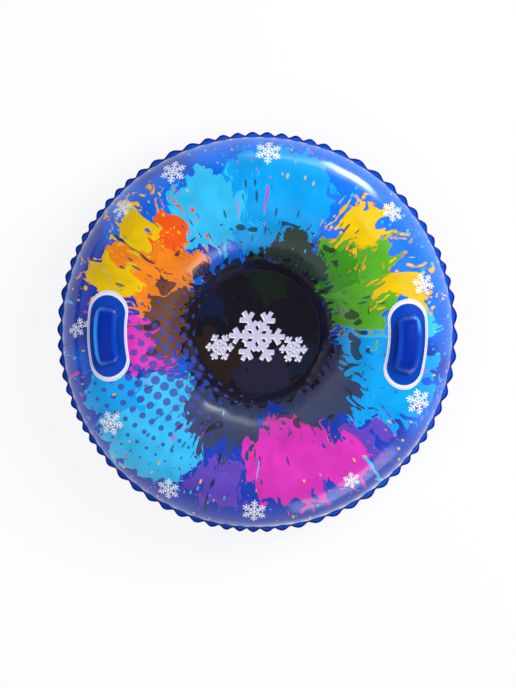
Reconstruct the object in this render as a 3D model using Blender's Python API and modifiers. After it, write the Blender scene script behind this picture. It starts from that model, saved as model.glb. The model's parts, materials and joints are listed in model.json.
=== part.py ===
"""Round inflatable snow tube with a scalloped welded edge, a closed seat panel and two grab handles.

Metres, +Z up. The tube lies on its flat underside at z = 0, its axis is the Z axis, and the two
handles stand at its left and right, along X.
"""

import math

import bmesh
import bpy
from mathutils import Matrix, Vector

# Inflated ring: the two sheets meet at an outer and an inner weld line, on one level.
OUTER_SEAM_RADIUS = 0.425
INNER_SEAM_RADIUS = 0.1368
CHAMBER_HALF_HEIGHT = 0.1095
CROWN_PLACE_SHARE = 0.5836
INNER_SLOPE_POWER = 2.2
REST_FLAT_DEPTH = 0.0006
SHEET_THICKNESS = 0.0006
SHEET_SIDES = 64
INNER_STEPS = 5
OUTER_STEPS = 7

# Welded bands of the two seams, and the gap that every two neighbouring pieces keep.
BAND_THICKNESS = 0.0012
BAND_LAP = 0.004
FIT_GAP = 0.0003

# Scalloped edge outside the outer seam.
SCALLOP_PEAK_REACH = 0.010
SCALLOP_VALLEY_REACH = 0.003
SCALLOP_ROOT_REACH = 0.0012
SCALLOP_CURL = 0.0075
SCALLOP_COUNT = 76
SCALLOP_STEPS = 4
SCALLOP_ROUNDNESS = 0.7
SCALLOP_DRIFTS = ((4, 0.9), (10, 0.55))

# Seat panel and the floor under it, welded inside the inner seam.
PANEL_SEAM_CLEARANCE = 0.0043
PANEL_THICKNESS = 0.0005
PANEL_LAP = 0.0045
INNER_BAND_REACH = 0.0027

# Grab handles: a white patch, and a blue moulding with a broad raised grip.
HANDLE_CROWN_OFFSET = 0.020
HANDLE_DROP = 0.018
PATCH_HALF_WIDTH = 0.043
PATCH_HALF_LENGTH = 0.098
PATCH_THICKNESS = 0.0006
BASE_HALF_WIDTH = 0.0375
BASE_HALF_LENGTH = 0.088
BASE_THICKNESS = 0.0022
GRIP_WIDTH = 0.050
GRIP_HALF_LENGTH = 0.064
GRIP_HEIGHT = 0.0295
GRIP_THICKNESS = 0.0045
GRIP_EDGE_DROP = 0.0035
GRIP_ROLL_POWER = 3
GRIP_FOOT_DEPTH = 0.006
GRIP_SQUARENESS = 3.2
GRIP_EDGE_ROUND = 0.0013
GRIP_STEPS = 18
GRIP_ACROSS_SHARES = (-1.0, -0.8, -0.4, 0.0, 0.4, 0.8, 1.0)
SIDE_STEPS = 6
END_STEPS = 10

# Air valve on the underside, on the slope between the crown and the seat panel. Its stem is
# pushed in by its travel, until its mouth stands a pushed reach above the sheet.
VALVE_SEAM_OFFSET = 0.0532
VALVE_AZIMUTH = math.radians(-90)
VALVE_FLANGE_RADIUS = 0.022
VALVE_FLANGE_THICKNESS = 0.0009
VALVE_COLLAR_RADIUS = 0.0100
VALVE_COLLAR_HEIGHT = 0.0021
SHEET_HOLE_CLEARANCE = 0.0015
STEM_RADIUS = 0.0075
STEM_BORE_RADIUS = 0.0045
STEM_TRAVEL = 0.009
STEM_PUSHED_REACH = 0.009
STEM_TAIL = 0.008
LIP_RADIUS = 0.0084
LIP_HEIGHT = 0.002
ROUND_SIDES = 32

# Plug on its strap, which folds at a knuckle beside the stem.
PLUG_TOP_RADIUS = 0.0040
PLUG_TIP_RADIUS = 0.0038
PLUG_LENGTH = 0.006
PLUG_HEAD_RADIUS = 0.0075
PLUG_HEAD_HEIGHT = 0.0025
KNUCKLE_RADIUS = 0.001
KNUCKLE_DEPTH = 0.0023
KNUCKLE_REACH = 0.0112
STRAP_WIDTH = 0.006
STRAP_THICKNESS = 0.0012
STRAP_BOW = 0.0011
STRAP_STEPS = 7
LUG_HEIGHT = 0.0026

# One-way flap inside the stem's inner end.
FLAP_RADIUS = 0.0062
FLAP_THICKNESS = 0.0005

CUT_OVERRUN = 0.004
MERGE_DISTANCE = 0.00001
SMOOTH_ANGLE = math.radians(35)
ROUNDED_EDGE_ANGLE = math.radians(60)

# Sizes that follow from the ones above.
CROWN_RADIUS = INNER_SEAM_RADIUS + CROWN_PLACE_SHARE * (OUTER_SEAM_RADIUS - INNER_SEAM_RADIUS)
SEAM_CLEARANCE = BAND_THICKNESS / 2 + FIT_GAP
SHEET_RISE = CHAMBER_HALF_HEIGHT - SEAM_CLEARANCE
SEAM_HEIGHT = CHAMBER_HALF_HEIGHT - REST_FLAT_DEPTH
TOP_EDGE_HEIGHT = SEAM_HEIGHT + SEAM_CLEARANCE
BOTTOM_EDGE_HEIGHT = SEAM_HEIGHT - SEAM_CLEARANCE
PANEL_RADIUS = INNER_SEAM_RADIUS - PANEL_SEAM_CLEARANCE
HANDLE_RADIUS = CROWN_RADIUS + HANDLE_CROWN_OFFSET
VALVE_RADIUS = INNER_SEAM_RADIUS + VALVE_SEAM_OFFSET
STEM_REACH = STEM_PUSHED_REACH + STEM_TRAVEL
PATCH_RISE = FIT_GAP
BASE_RISE = PATCH_RISE + PATCH_THICKNESS + FIT_GAP
BASE_TOP_RISE = BASE_RISE + BASE_THICKNESS
HANDLE_AZIMUTHS = {
    "left": math.pi + math.asin(HANDLE_DROP / HANDLE_RADIUS),
    "right": -math.asin(HANDLE_DROP / HANDLE_RADIUS),
}

parts = bpy.data.collections.new("snow_tube")
cutters = bpy.data.collections.new("cutters")


def clear_scene():
    for obj in list(bpy.data.objects):
        bpy.data.objects.remove(obj, do_unlink=True)
    bpy.context.scene.collection.children.link(parts)
    bpy.context.scene.collection.children.link(cutters)


def linear(value):
    return value / 12.92 if value <= 0.04045 else ((value + 0.055) / 1.055) ** 2.4


def material(name, hex_colour, roughness, metallic=0.0):
    made = bpy.data.materials.get(name) or bpy.data.materials.new(name)
    made.use_nodes = True
    shader = made.node_tree.nodes["Principled BSDF"]
    channels = [linear(int(hex_colour[at : at + 2], 16) / 255) for at in (1, 3, 5)]
    shader.inputs["Base Color"].default_value = (*channels, 1.0)
    shader.inputs["Roughness"].default_value = roughness
    shader.inputs["Metallic"].default_value = metallic
    made.diffuse_color = (*channels, 1.0)
    return made


PRINTED_PVC = material("printed_pvc_sheet", "#1C7BDE", 0.22)
BLUE_PVC = material("blue_pvc_sheet", "#1450B8", 0.25)
SEAM_PVC = material("welded_pvc_edge", "#123F9E", 0.28)
PANEL_PVC = material("printed_seat_panel", "#26222F", 0.24)
WHITE_PVC = material("white_pvc_patch", "#E4E2F5", 0.30)
HANDLE_PVC = material("moulded_blue_pvc", "#0A46CF", 0.27)
CLEAR_PVC = material("soft_valve_vinyl", "#D9E2EC", 0.35)
FLAP_FILM = material("flap_film", "#C9D6E4", 0.45)


def keep(obj, finish, group=None):
    """Files an object under the parts or the cutters and gives it its finish."""
    (group or parts).objects.link(obj)
    if finish is not None:
        obj.data.materials.append(finish)
    if group is cutters:
        obj.hide_render = True
        obj.display_type = "WIRE"
    return obj


def object_from(bm, name, finish, group=None):
    bmesh.ops.remove_doubles(bm, verts=bm.verts, dist=MERGE_DISTANCE)
    bmesh.ops.recalc_face_normals(bm, faces=bm.faces)
    mesh = bpy.data.meshes.new(name)
    bm.to_mesh(mesh)
    bm.free()
    if group is not cutters:
        mesh.shade_smooth()
        mesh.set_sharp_from_angle(angle=SMOOTH_ANGLE)
    return keep(bpy.data.objects.new(name, mesh), finish, group)


def turned(name, section, finish, group=None, sides=SHEET_SIDES):
    """A ring or disc turned from a closed section that runs down its outer side."""
    mesh = bpy.data.meshes.new(name)
    corners = len(section)
    mesh.from_pydata(
        [(radius, 0, height) for radius, height in section],
        [(at, (at + 1) % corners) for at in range(corners)],
        [],
    )
    obj = keep(bpy.data.objects.new(name, mesh), finish, group)
    screw = obj.modifiers.new("turn", "SCREW")
    screw.steps = screw.render_steps = sides
    screw.use_merge_vertices = True
    screw.merge_threshold = MERGE_DISTANCE
    screw.use_smooth_shade = False
    return obj


def boolean(obj, operation, other):
    cut = obj.modifiers.new(operation.lower(), "BOOLEAN")
    cut.operation = operation
    cut.object = other
    return obj


def rod(name, radius, low, high, placed, finish=None, group=None):
    """A round bar along a frame's Z, from low to high."""
    bm = bmesh.new()
    middle = Matrix.Translation(Vector((0, 0, (low + high) / 2)))
    bmesh.ops.create_cone(
        bm,
        cap_ends=True,
        segments=ROUND_SIDES,
        radius1=radius,
        radius2=radius,
        depth=high - low,
        matrix=middle,
    )
    obj = object_from(bm, name, finish, group)
    obj.matrix_world = placed
    return obj


def sheet_line(flat_depth):
    """Radius and rise of a blown-up sheet, from the inner seam over its crown to the outer seam.

    A crown cut off flat_depth deep, as on the underside, is one straight flat step.
    """
    inner_width = CROWN_RADIUS - INNER_SEAM_RADIUS
    outer_width = OUTER_SEAM_RADIUS - CROWN_RADIUS
    flat_share = (flat_depth / SHEET_RISE) ** (1 / INNER_SLOPE_POWER)
    flat_angle = math.acos(1 - flat_depth / SHEET_RISE)
    line = []
    for step in range(INNER_STEPS + 1):
        share = 1 - (1 - flat_share) * step / INNER_STEPS
        rise = SHEET_RISE * (1 - share**INNER_SLOPE_POWER)
        line.append((CROWN_RADIUS - share * inner_width, rise))
    for step in range(0 if flat_depth else 1, OUTER_STEPS + 1):
        angle = flat_angle + (math.pi / 2 - flat_angle) * step / OUTER_STEPS
        line.append((CROWN_RADIUS + outer_width * math.sin(angle), SHEET_RISE * math.cos(angle)))
    return line


def raised_line(line, distance):
    """The line moved out from the chamber by a distance, its ends kept on the edge level."""
    moved = []
    for (r0, z0), (r1, z1) in zip(line, line[1:]):
        length = math.hypot(r1 - r0, z1 - z0)
        across = (-(z1 - z0) / length * distance, (r1 - r0) / length * distance)
        moved.append(((r0 + across[0], z0 + across[1]), (r1 + across[0], z1 + across[1])))
    corners = [level_crossing(*moved[0])]
    for before, after in zip(moved, moved[1:]):
        corners.append(lines_crossing(before, after))
    corners.append(level_crossing(*moved[-1]))
    return corners


def level_crossing(start, end):
    share = -start[1] / (end[1] - start[1])
    return start[0] + share * (end[0] - start[0]), 0.0


def lines_crossing(first, second):
    (x1, y1), (x2, y2) = first
    (x3, y3), (x4, y4) = second
    below = (x1 - x2) * (y3 - y4) - (y1 - y2) * (x3 - x4)
    share = ((x1 - x3) * (y3 - y4) - (y1 - y3) * (x3 - x4)) / below
    return x1 + share * (x2 - x1), y1 + share * (y2 - y1)


TOP_LINE = sheet_line(0)
BOTTOM_LINE = sheet_line(REST_FLAT_DEPTH)


def upper_section(low, high):
    """Closed section between two distances outside the top sheet's outer face."""
    outside = [(r, TOP_EDGE_HEIGHT + z) for r, z in raised_line(TOP_LINE, high)]
    inside = [(r, TOP_EDGE_HEIGHT + z) for r, z in raised_line(TOP_LINE, low)]
    return outside + inside[::-1]


def lower_section(low, high):
    """The same for the bottom sheet, whose outer face looks down."""
    outside = [(r, BOTTOM_EDGE_HEIGHT - z) for r, z in raised_line(BOTTOM_LINE, high)]
    inside = [(r, BOTTOM_EDGE_HEIGHT - z) for r, z in raised_line(BOTTOM_LINE, low)]
    return inside + outside[::-1]


def surface_at(line, radius):
    """Rise and slope of a sheet's line at a radius."""
    for (r0, z0), (r1, z1) in zip(line, line[1:]):
        if r0 <= radius <= r1:
            slope = (z1 - z0) / (r1 - r0)
            return z0 + slope * (radius - r0), slope
    raise ValueError("no sheet at this radius")


def make_sheets():
    turned("top_sheet", upper_section(-SHEET_THICKNESS, 0), PRINTED_PVC)
    return turned("bottom_sheet", lower_section(-SHEET_THICKNESS, 0), BLUE_PVC)


def make_outer_seam():
    """The welded edge: a flat band under the sheets' rims, ruffled into scallops outside them."""
    bm = bmesh.new()
    root_radius = OUTER_SEAM_RADIUS + SCALLOP_ROOT_REACH
    edge_radius = OUTER_SEAM_RADIUS + SCALLOP_PEAK_REACH
    radii = (OUTER_SEAM_RADIUS - BAND_LAP, root_radius, edge_radius)
    section = [bm.verts.new((radius, 0, SEAM_HEIGHT)) for radius in radii]
    for before, after in zip(section, section[1:]):
        bm.edges.new((before, after))
    bmesh.ops.spin(
        bm,
        geom=bm.verts[:] + bm.edges[:],
        cent=(0, 0, 0),
        axis=(0, 0, 1),
        angle=math.tau,
        steps=SCALLOP_COUNT * SCALLOP_STEPS,
        use_merge=True,
    )
    for vert in bm.verts:
        if vert.co.xy.length > (root_radius + edge_radius) / 2:
            azimuth = math.atan2(vert.co.y, vert.co.x)
            bump = scallop(azimuth)
            reach = SCALLOP_VALLEY_REACH + (SCALLOP_PEAK_REACH - SCALLOP_VALLEY_REACH) * bump
            radius = OUTER_SEAM_RADIUS + reach
            vert.co.x = radius * math.cos(azimuth)
            vert.co.y = radius * math.sin(azimuth)
            vert.co.z = SEAM_HEIGHT - SCALLOP_CURL * (1 - bump)
    obj = object_from(bm, "outer_seam_flange", SEAM_PVC)
    wall = obj.modifiers.new("wall", "SOLIDIFY")
    wall.thickness = BAND_THICKNESS
    wall.offset = 0
    wall.use_even_offset = False


def scallop(azimuth):
    """0 in a valley and 1 on a peak; the peaks drift a little apart and together round the rim."""
    turn = SCALLOP_COUNT * azimuth
    for waves, swing in SCALLOP_DRIFTS:
        turn += swing * math.sin(waves * azimuth)
    return (0.5 + 0.5 * math.cos(turn)) ** SCALLOP_ROUNDNESS


def make_seat():
    """The seat panel over the floor disc, both on the inner seam's welded band."""
    half_band = BAND_THICKNESS / 2
    inside = PANEL_RADIUS - PANEL_LAP
    outside = INNER_SEAM_RADIUS + INNER_BAND_REACH
    ring = [
        (outside, SEAM_HEIGHT + half_band),
        (outside, SEAM_HEIGHT - half_band),
        (inside, SEAM_HEIGHT - half_band),
        (inside, SEAM_HEIGHT + half_band),
    ]
    turned("inner_weld_ring", ring, SEAM_PVC)
    disc("centre_panel", TOP_EDGE_HEIGHT, TOP_EDGE_HEIGHT + PANEL_THICKNESS, PANEL_PVC)
    disc("centre_floor", BOTTOM_EDGE_HEIGHT - PANEL_THICKNESS, BOTTOM_EDGE_HEIGHT, BLUE_PVC)


def disc(name, low, high, finish):
    bm = bmesh.new()
    bmesh.ops.create_cone(
        bm,
        cap_ends=True,
        segments=SHEET_SIDES,
        radius1=PANEL_RADIUS,
        radius2=PANEL_RADIUS,
        depth=high - low,
        matrix=Matrix.Translation(Vector((0, 0, (low + high) / 2))),
    )
    return object_from(bm, name, finish)


def kidney_prism(name, azimuth, half_width, half_length):
    """A slot with round ends, bent round the tube's axis and raised past its crown."""
    straight = half_length - half_width
    outline = []
    for end in (1, -1):
        for step in range(END_STEPS + 1):
            angle = math.pi * step / END_STEPS
            across = end * half_width * math.cos(angle)
            along = end * (straight + half_width * math.sin(angle))
            outline.append((across, along))
        for step in range(1, SIDE_STEPS):
            outline.append((-end * half_width, end * straight * (1 - 2 * step / SIDE_STEPS)))
    bm = bmesh.new()
    corners = []
    for across, along in outline:
        radius = HANDLE_RADIUS + across
        turn = azimuth + along / HANDLE_RADIUS
        corners.append(bm.verts.new((radius * math.cos(turn), radius * math.sin(turn), SEAM_HEIGHT)))
    face = bm.faces.new(corners)
    raised = bmesh.ops.extrude_face_region(bm, geom=[face])["geom"]
    top = [item for item in raised if isinstance(item, bmesh.types.BMVert)]
    bmesh.ops.translate(bm, verts=top, vec=(0, 0, 2 * CHAMBER_HALF_HEIGHT))
    return object_from(bm, name, None, cutters)


def grip_path():
    """Side view of the grip from foot to foot: along the handle, up, and the way square to it."""
    points = [(-GRIP_HALF_LENGTH, -GRIP_FOOT_DEPTH)]
    for step in range(GRIP_STEPS + 1):
        angle = math.pi * (1 - step / GRIP_STEPS)
        along = abs(math.cos(angle)) ** (2 / GRIP_SQUARENESS)
        up = abs(math.sin(angle)) ** (2 / GRIP_SQUARENESS)
        points.append((math.copysign(along, math.cos(angle)) * GRIP_HALF_LENGTH, up * GRIP_HEIGHT))
    points.append((GRIP_HALF_LENGTH, -GRIP_FOOT_DEPTH))
    path = []
    for at, (along, up) in enumerate(points):
        before = points[max(at - 1, 0)]
        after = points[min(at + 1, len(points) - 1)]
        run = Vector((after[0] - before[0], after[1] - before[1])).normalized()
        path.append((along, up, -run.y, run.x))
    return path


def grip_mesh(azimuth):
    """The arched strap: its edges roll down across its width, and it bends with the base."""
    rise, slope = surface_at(TOP_LINE, HANDLE_RADIUS)
    tilt = math.atan(slope)
    bm = bmesh.new()
    rows = []
    for along, up, square_along, square_up in grip_path():
        row = []
        for share in GRIP_ACROSS_SHARES:
            drop = -GRIP_EDGE_DROP * abs(share) ** GRIP_ROLL_POWER
            across = share * GRIP_WIDTH / 2
            height = up + drop * square_up
            turn = azimuth + (along + drop * square_along) / HANDLE_RADIUS
            radius = HANDLE_RADIUS + across * math.cos(tilt) - height * math.sin(tilt)
            level = TOP_EDGE_HEIGHT + rise + across * math.sin(tilt) + height * math.cos(tilt)
            row.append(bm.verts.new((radius * math.cos(turn), radius * math.sin(turn), level)))
        rows.append(row)
    for row, following in zip(rows, rows[1:]):
        for at in range(len(row) - 1):
            bm.faces.new((row[at], row[at + 1], following[at + 1], following[at]))
    return bm


def make_handle(side, azimuth):
    outline = kidney_prism(f"patch_outline_{side}", azimuth, PATCH_HALF_WIDTH, PATCH_HALF_LENGTH)
    patch = upper_section(PATCH_RISE, PATCH_RISE + PATCH_THICKNESS)
    boolean(turned(f"handle_patch_{side}", patch, WHITE_PVC), "INTERSECT", outline)

    outline = kidney_prism(f"base_outline_{side}", azimuth, BASE_HALF_WIDTH, BASE_HALF_LENGTH)
    base = turned(f"handle_base_{side}", upper_section(BASE_RISE, BASE_TOP_RISE), None, cutters)
    boolean(base, "INTERSECT", outline)

    under = raised_line(TOP_LINE, (BASE_RISE + BASE_TOP_RISE) / 2)
    section = [(r, TOP_EDGE_HEIGHT + z) for r, z in under]
    body = turned(f"under_handle_{side}", section, None, cutters)

    handle = object_from(grip_mesh(azimuth), f"handle_{side}", HANDLE_PVC)
    if handle.data.polygons[0].normal.dot(Vector((math.cos(azimuth), math.sin(azimuth), 1))) < 0:
        handle.data.flip_normals()
    wall = handle.modifiers.new("wall", "SOLIDIFY")
    wall.thickness = GRIP_THICKNESS
    wall.offset = -1
    wall.use_even_offset = True
    edge = handle.modifiers.new("edge", "BEVEL")
    edge.width = GRIP_EDGE_ROUND
    edge.segments = 1
    edge.limit_method = "ANGLE"
    edge.angle_limit = ROUNDED_EDGE_ANGLE
    boolean(handle, "DIFFERENCE", body)
    boolean(handle, "UNION", base)


def valve_frame():
    """Centre of the valve on the bottom sheet, with Z pointing out of the sheet."""
    rise, slope = surface_at(BOTTOM_LINE, VALVE_RADIUS)
    radial = Vector((math.cos(VALVE_AZIMUTH), math.sin(VALVE_AZIMUTH), 0))
    along = (radial - Vector((0, 0, slope))).normalized()
    outward = (-slope * radial - Vector((0, 0, 1))).normalized()
    side = outward.cross(along)
    turn = Matrix((along, side, outward)).transposed().to_4x4()
    centre = VALVE_RADIUS * radial + Vector((0, 0, BOTTOM_EDGE_HEIGHT - rise))
    return Matrix.Translation(centre) @ turn


def make_valve(bottom_sheet):
    placed = valve_frame()
    seat = bpy.data.objects.new("valve_seat", None)
    parts.objects.link(seat)
    seat.matrix_world = placed

    hole_radius = STEM_RADIUS + SHEET_HOLE_CLEARANCE
    hole = rod("sheet_hole", hole_radius, -CUT_OVERRUN, CUT_OVERRUN, placed, group=cutters)
    boolean(bottom_sheet, "DIFFERENCE", hole)
    make_valve_flange(placed)
    stem = make_valve_stem(seat)
    make_valve_plug(stem)
    make_valve_flap(stem)


def make_valve_flange(placed):
    """A thin round flange that lies on the sheet, with a low collar round the stem."""
    low = FIT_GAP
    high = FIT_GAP + VALVE_FLANGE_THICKNESS
    rim = rod("flange_rim", VALVE_FLANGE_RADIUS, -CUT_OVERRUN, CUT_OVERRUN, placed, group=cutters)
    flange = turned("valve_flange", lower_section(low, high), CLEAR_PVC)
    boolean(flange, "INTERSECT", rim)

    collar = rod("collar", VALVE_COLLAR_RADIUS, -CUT_OVERRUN, VALVE_COLLAR_HEIGHT, placed, group=cutters)
    under = [(r, BOTTOM_EDGE_HEIGHT - z) for r, z in raised_line(BOTTOM_LINE, (low + high) / 2)]
    boolean(collar, "DIFFERENCE", turned("under_collar", under[::-1], None, cutters))
    boolean(flange, "UNION", collar)
    bore = rod("flange_bore", STEM_RADIUS + FIT_GAP, -CUT_OVERRUN, CUT_OVERRUN, placed, group=cutters)
    boolean(flange, "DIFFERENCE", bore)


def make_valve_stem(seat):
    """The push-in tube, with a lip at its mouth and a lug that the plug's strap folds beside."""
    section = [
        (STEM_BORE_RADIUS, STEM_REACH),
        (LIP_RADIUS, STEM_REACH),
        (LIP_RADIUS, STEM_REACH - LIP_HEIGHT),
        (STEM_RADIUS, STEM_REACH - LIP_HEIGHT),
        (STEM_RADIUS, -STEM_TAIL),
        (STEM_BORE_RADIUS, -STEM_TAIL),
    ]
    stem = turned("valve_stem", section, CLEAR_PVC, sides=ROUND_SIDES)
    stem.parent = seat

    bm = bmesh.new()
    inner = -(STEM_BORE_RADIUS + STEM_RADIUS) / 2
    outer = -(KNUCKLE_REACH - KNUCKLE_RADIUS - FIT_GAP)
    bmesh.ops.create_cube(bm, size=1)
    bmesh.ops.scale(bm, verts=bm.verts, vec=(inner - outer, STRAP_WIDTH, LUG_HEIGHT))
    middle = Vector(((inner + outer) / 2, 0, STEM_REACH - KNUCKLE_DEPTH))
    bmesh.ops.translate(bm, verts=bm.verts, vec=middle)
    lug = object_from(bm, "strap_lug", None, cutters)
    lug.parent = seat
    return boolean(stem, "UNION", lug)


def make_valve_plug(stem):
    """Plug, head and strap as one moulding, with its origin on the knuckle that it folds at."""
    head_low = STEM_REACH + FIT_GAP
    pin = Vector((-KNUCKLE_REACH, 0, STEM_REACH - KNUCKLE_DEPTH))
    section = [
        (0, head_low + PLUG_HEAD_HEIGHT),
        (PLUG_HEAD_RADIUS, head_low + PLUG_HEAD_HEIGHT),
        (PLUG_HEAD_RADIUS, head_low),
        (PLUG_TOP_RADIUS, head_low),
        (PLUG_TIP_RADIUS, head_low - PLUG_LENGTH),
        (0, head_low - PLUG_LENGTH),
    ]
    plug = turned("valve_plug", section, CLEAR_PVC, sides=ROUND_SIDES)
    turn = plug.modifiers["turn"]
    centre = bpy.data.objects.new("plug_axis", None)
    parts.objects.link(centre)
    centre.parent = stem
    turn.object = centre
    plug.parent = stem
    plug.location = pin
    plug.data.transform(Matrix.Translation(-pin))

    strap = object_from(strap_mesh(pin, head_low), "plug_strap", None, cutters)
    strap.parent = stem
    strap.location = pin
    boolean(plug, "UNION", strap)


def strap_mesh(pin, head_low):
    """The strap's side view, from the knuckle up and over into the head, given its width."""
    middle = Vector((-PLUG_HEAD_RADIUS + STRAP_THICKNESS, 0, head_low + PLUG_HEAD_HEIGHT / 2)) - pin
    outer_side = []
    inner_side = []
    for step in range(STRAP_STEPS + 1):
        angle = math.pi / 2 * step / STRAP_STEPS
        across = middle.x - (middle.x + STRAP_BOW) * math.cos(angle)
        up = middle.z * math.sin(angle)
        square = Vector((-math.cos(angle), math.sin(angle))) * STRAP_THICKNESS / 2
        outer_side.append((across + square.x, up + square.y))
        inner_side.append((across - square.x, up - square.y))
    knuckle = []
    for step in range(STRAP_STEPS + 1):
        angle = math.pi * (1 + step / STRAP_STEPS)
        knuckle.append((KNUCKLE_RADIUS * math.cos(angle), KNUCKLE_RADIUS * math.sin(angle)))
    outline = outer_side[1:][::-1] + knuckle + inner_side[1:]
    bm = bmesh.new()
    corners = [bm.verts.new((x, -STRAP_WIDTH / 2, z)) for x, z in outline]
    face = bm.faces.new(corners)
    raised = bmesh.ops.extrude_face_region(bm, geom=[face])["geom"]
    far = [item for item in raised if isinstance(item, bmesh.types.BMVert)]
    bmesh.ops.translate(bm, verts=far, vec=(0, STRAP_WIDTH, 0))
    return bm


def make_valve_flap(stem):
    """A thin disc under the stem's tail, with its origin on the edge that it hinges at."""
    pin = Vector((-FLAP_RADIUS, 0, -STEM_TAIL - FIT_GAP - FLAP_THICKNESS / 2))
    placed = Matrix.Translation(-pin)
    flap = rod(
        "valve_flap",
        FLAP_RADIUS,
        pin.z - FLAP_THICKNESS / 2,
        pin.z + FLAP_THICKNESS / 2,
        Matrix.Identity(4),
        FLAP_FILM,
    )
    flap.data.transform(placed)
    flap.parent = stem
    flap.location = pin


clear_scene()
bottom = make_sheets()
make_outer_seam()
make_seat()
for handle_side, handle_azimuth in HANDLE_AZIMUTHS.items():
    make_handle(handle_side, handle_azimuth)
make_valve(bottom)
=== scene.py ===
"""Looks of a round inflatable snow tube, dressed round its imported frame.

Metres, +Z up. The tube lies on its underside at z = 0 round the Z axis, with its grab handles
along X and its air valve underneath, at -Y.
"""

import json
import math
from functools import partial

import bpy
import numpy as np
from mathutils import Matrix, Vector


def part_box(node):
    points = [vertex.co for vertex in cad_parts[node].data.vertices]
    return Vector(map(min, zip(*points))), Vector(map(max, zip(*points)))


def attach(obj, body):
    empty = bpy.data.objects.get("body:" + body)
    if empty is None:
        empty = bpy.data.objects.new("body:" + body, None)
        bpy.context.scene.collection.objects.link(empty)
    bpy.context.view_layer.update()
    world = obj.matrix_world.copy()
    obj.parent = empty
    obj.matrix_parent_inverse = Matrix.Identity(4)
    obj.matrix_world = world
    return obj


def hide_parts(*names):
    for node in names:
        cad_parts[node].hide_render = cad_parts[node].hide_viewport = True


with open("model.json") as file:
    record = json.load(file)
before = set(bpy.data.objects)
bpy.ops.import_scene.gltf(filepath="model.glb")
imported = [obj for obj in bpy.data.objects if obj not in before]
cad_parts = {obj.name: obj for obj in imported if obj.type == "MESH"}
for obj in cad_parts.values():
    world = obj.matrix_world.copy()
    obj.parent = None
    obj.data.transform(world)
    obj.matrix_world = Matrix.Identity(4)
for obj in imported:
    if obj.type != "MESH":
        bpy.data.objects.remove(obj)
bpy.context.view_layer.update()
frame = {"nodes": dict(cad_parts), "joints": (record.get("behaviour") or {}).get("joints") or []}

# The photograph's frame, 516 by 688 pixels, at 2.175 mm a pixel over the 870 mm tube.
PHOTO_WIDTH_PX = 516
PHOTO_HEIGHT_PX = 688
TUBE_CENTRE_PX = (257.5, 332.0)
METRES_PER_PX = 0.002175
CAMERA_DISTANCE = 14.0
CAMERA_REACH = 100
SENSOR_SIZE = 36.0
TUBE_TURN = math.radians(1.6)

# The blown-up section, between the two welded seams.
OUTER_SEAM_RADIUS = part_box("top_sheet")[1].x
INNER_SEAM_RADIUS = 0.1368
CROWN_RADIUS = 0.305
TOP_EDGE_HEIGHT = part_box("top_sheet")[0].z
BOTTOM_EDGE_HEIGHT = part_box("bottom_sheet")[1].z
SHEET_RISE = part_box("top_sheet")[1].z - TOP_EDGE_HEIGHT
SEAM_HEIGHT = (TOP_EDGE_HEIGHT + BOTTOM_EDGE_HEIGHT) / 2
INNER_SLOPE_POWER = 2.2
RIM_SHARE_LIMIT = 0.999
REST_FLAT_DEPTH = 0.0006
SHEET_THICKNESS = 0.0006

# How finely the sheets are drawn, and how they pucker beside the welds and swell between them;
# a swell has its waves round the ring and outwards, its start and its share of the depth.
SCALLOP_COUNT = 76
SHEET_SIDES = SCALLOP_COUNT * 6
INNER_ROWS = 20
OUTER_ROWS = 22
TOP_PUCKER_DEPTH = 0.0004
BOTTOM_PUCKER_DEPTH = 0.0016
PUCKER_LENGTH = 0.020
PUCKER_FADE = 1.6
SWELL_DEPTH = 0.0004
SWELLS = ((5, 9, 0.0, 1.0), (11, -7, 1.3, 1.0), (23, 15, 0.0, 0.6))

# The scalloped edge: two sheets welded into one, ruffled by the blown-up ring. A drift of its
# scallops has its waves round the ring, its swing and the azimuth in degrees where it starts.
EDGE_SIDES = SCALLOP_COUNT * 14
EDGE_LAP = 0.004
EDGE_THICKNESS = 0.0012
EDGE_ROWS = 9
ROOT_REACH = 0.0008
PEAK_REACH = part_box("outer_seam_flange")[1].x - OUTER_SEAM_RADIUS
VALLEY_REACH = 0.0030
EDGE_CURL = 0.0072
CURL_POWER = 1.4
EDGE_BULGE = 0.0016
LIP_DROP = 0.0014
LIP_POWER = 4
SCALLOP_ROUNDNESS = 0.7
SCALLOP_DRIFTS = ((6, -2.0, 57), (1, -5.0, 0), (13, 0.35, 20))

# Seat panel, the welded band round it, and the floor disc underneath. A wave of a disc's slack
# has its count round the disc, its start and its share.
PANEL_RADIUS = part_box("centre_panel")[1].x
PANEL_SIDES = 228
PANEL_RINGS = 26
PANEL_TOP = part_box("centre_panel")[1].z
FLOOR_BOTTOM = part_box("centre_floor")[0].z
DISC_THICKNESS = 0.0005
DISC_SLACK = 0.0002
SLACK_WAVES = ((13, 1.1, 1.0), (29, 0.0, 0.7), (7, 2.0, 0.5))
SLACK_POWER = 5
BAND_INSIDE = 0.128
BAND_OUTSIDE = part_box("inner_weld_ring")[1].x
BAND_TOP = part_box("inner_weld_ring")[1].z
BAND_THICKNESS = 0.0012

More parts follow.
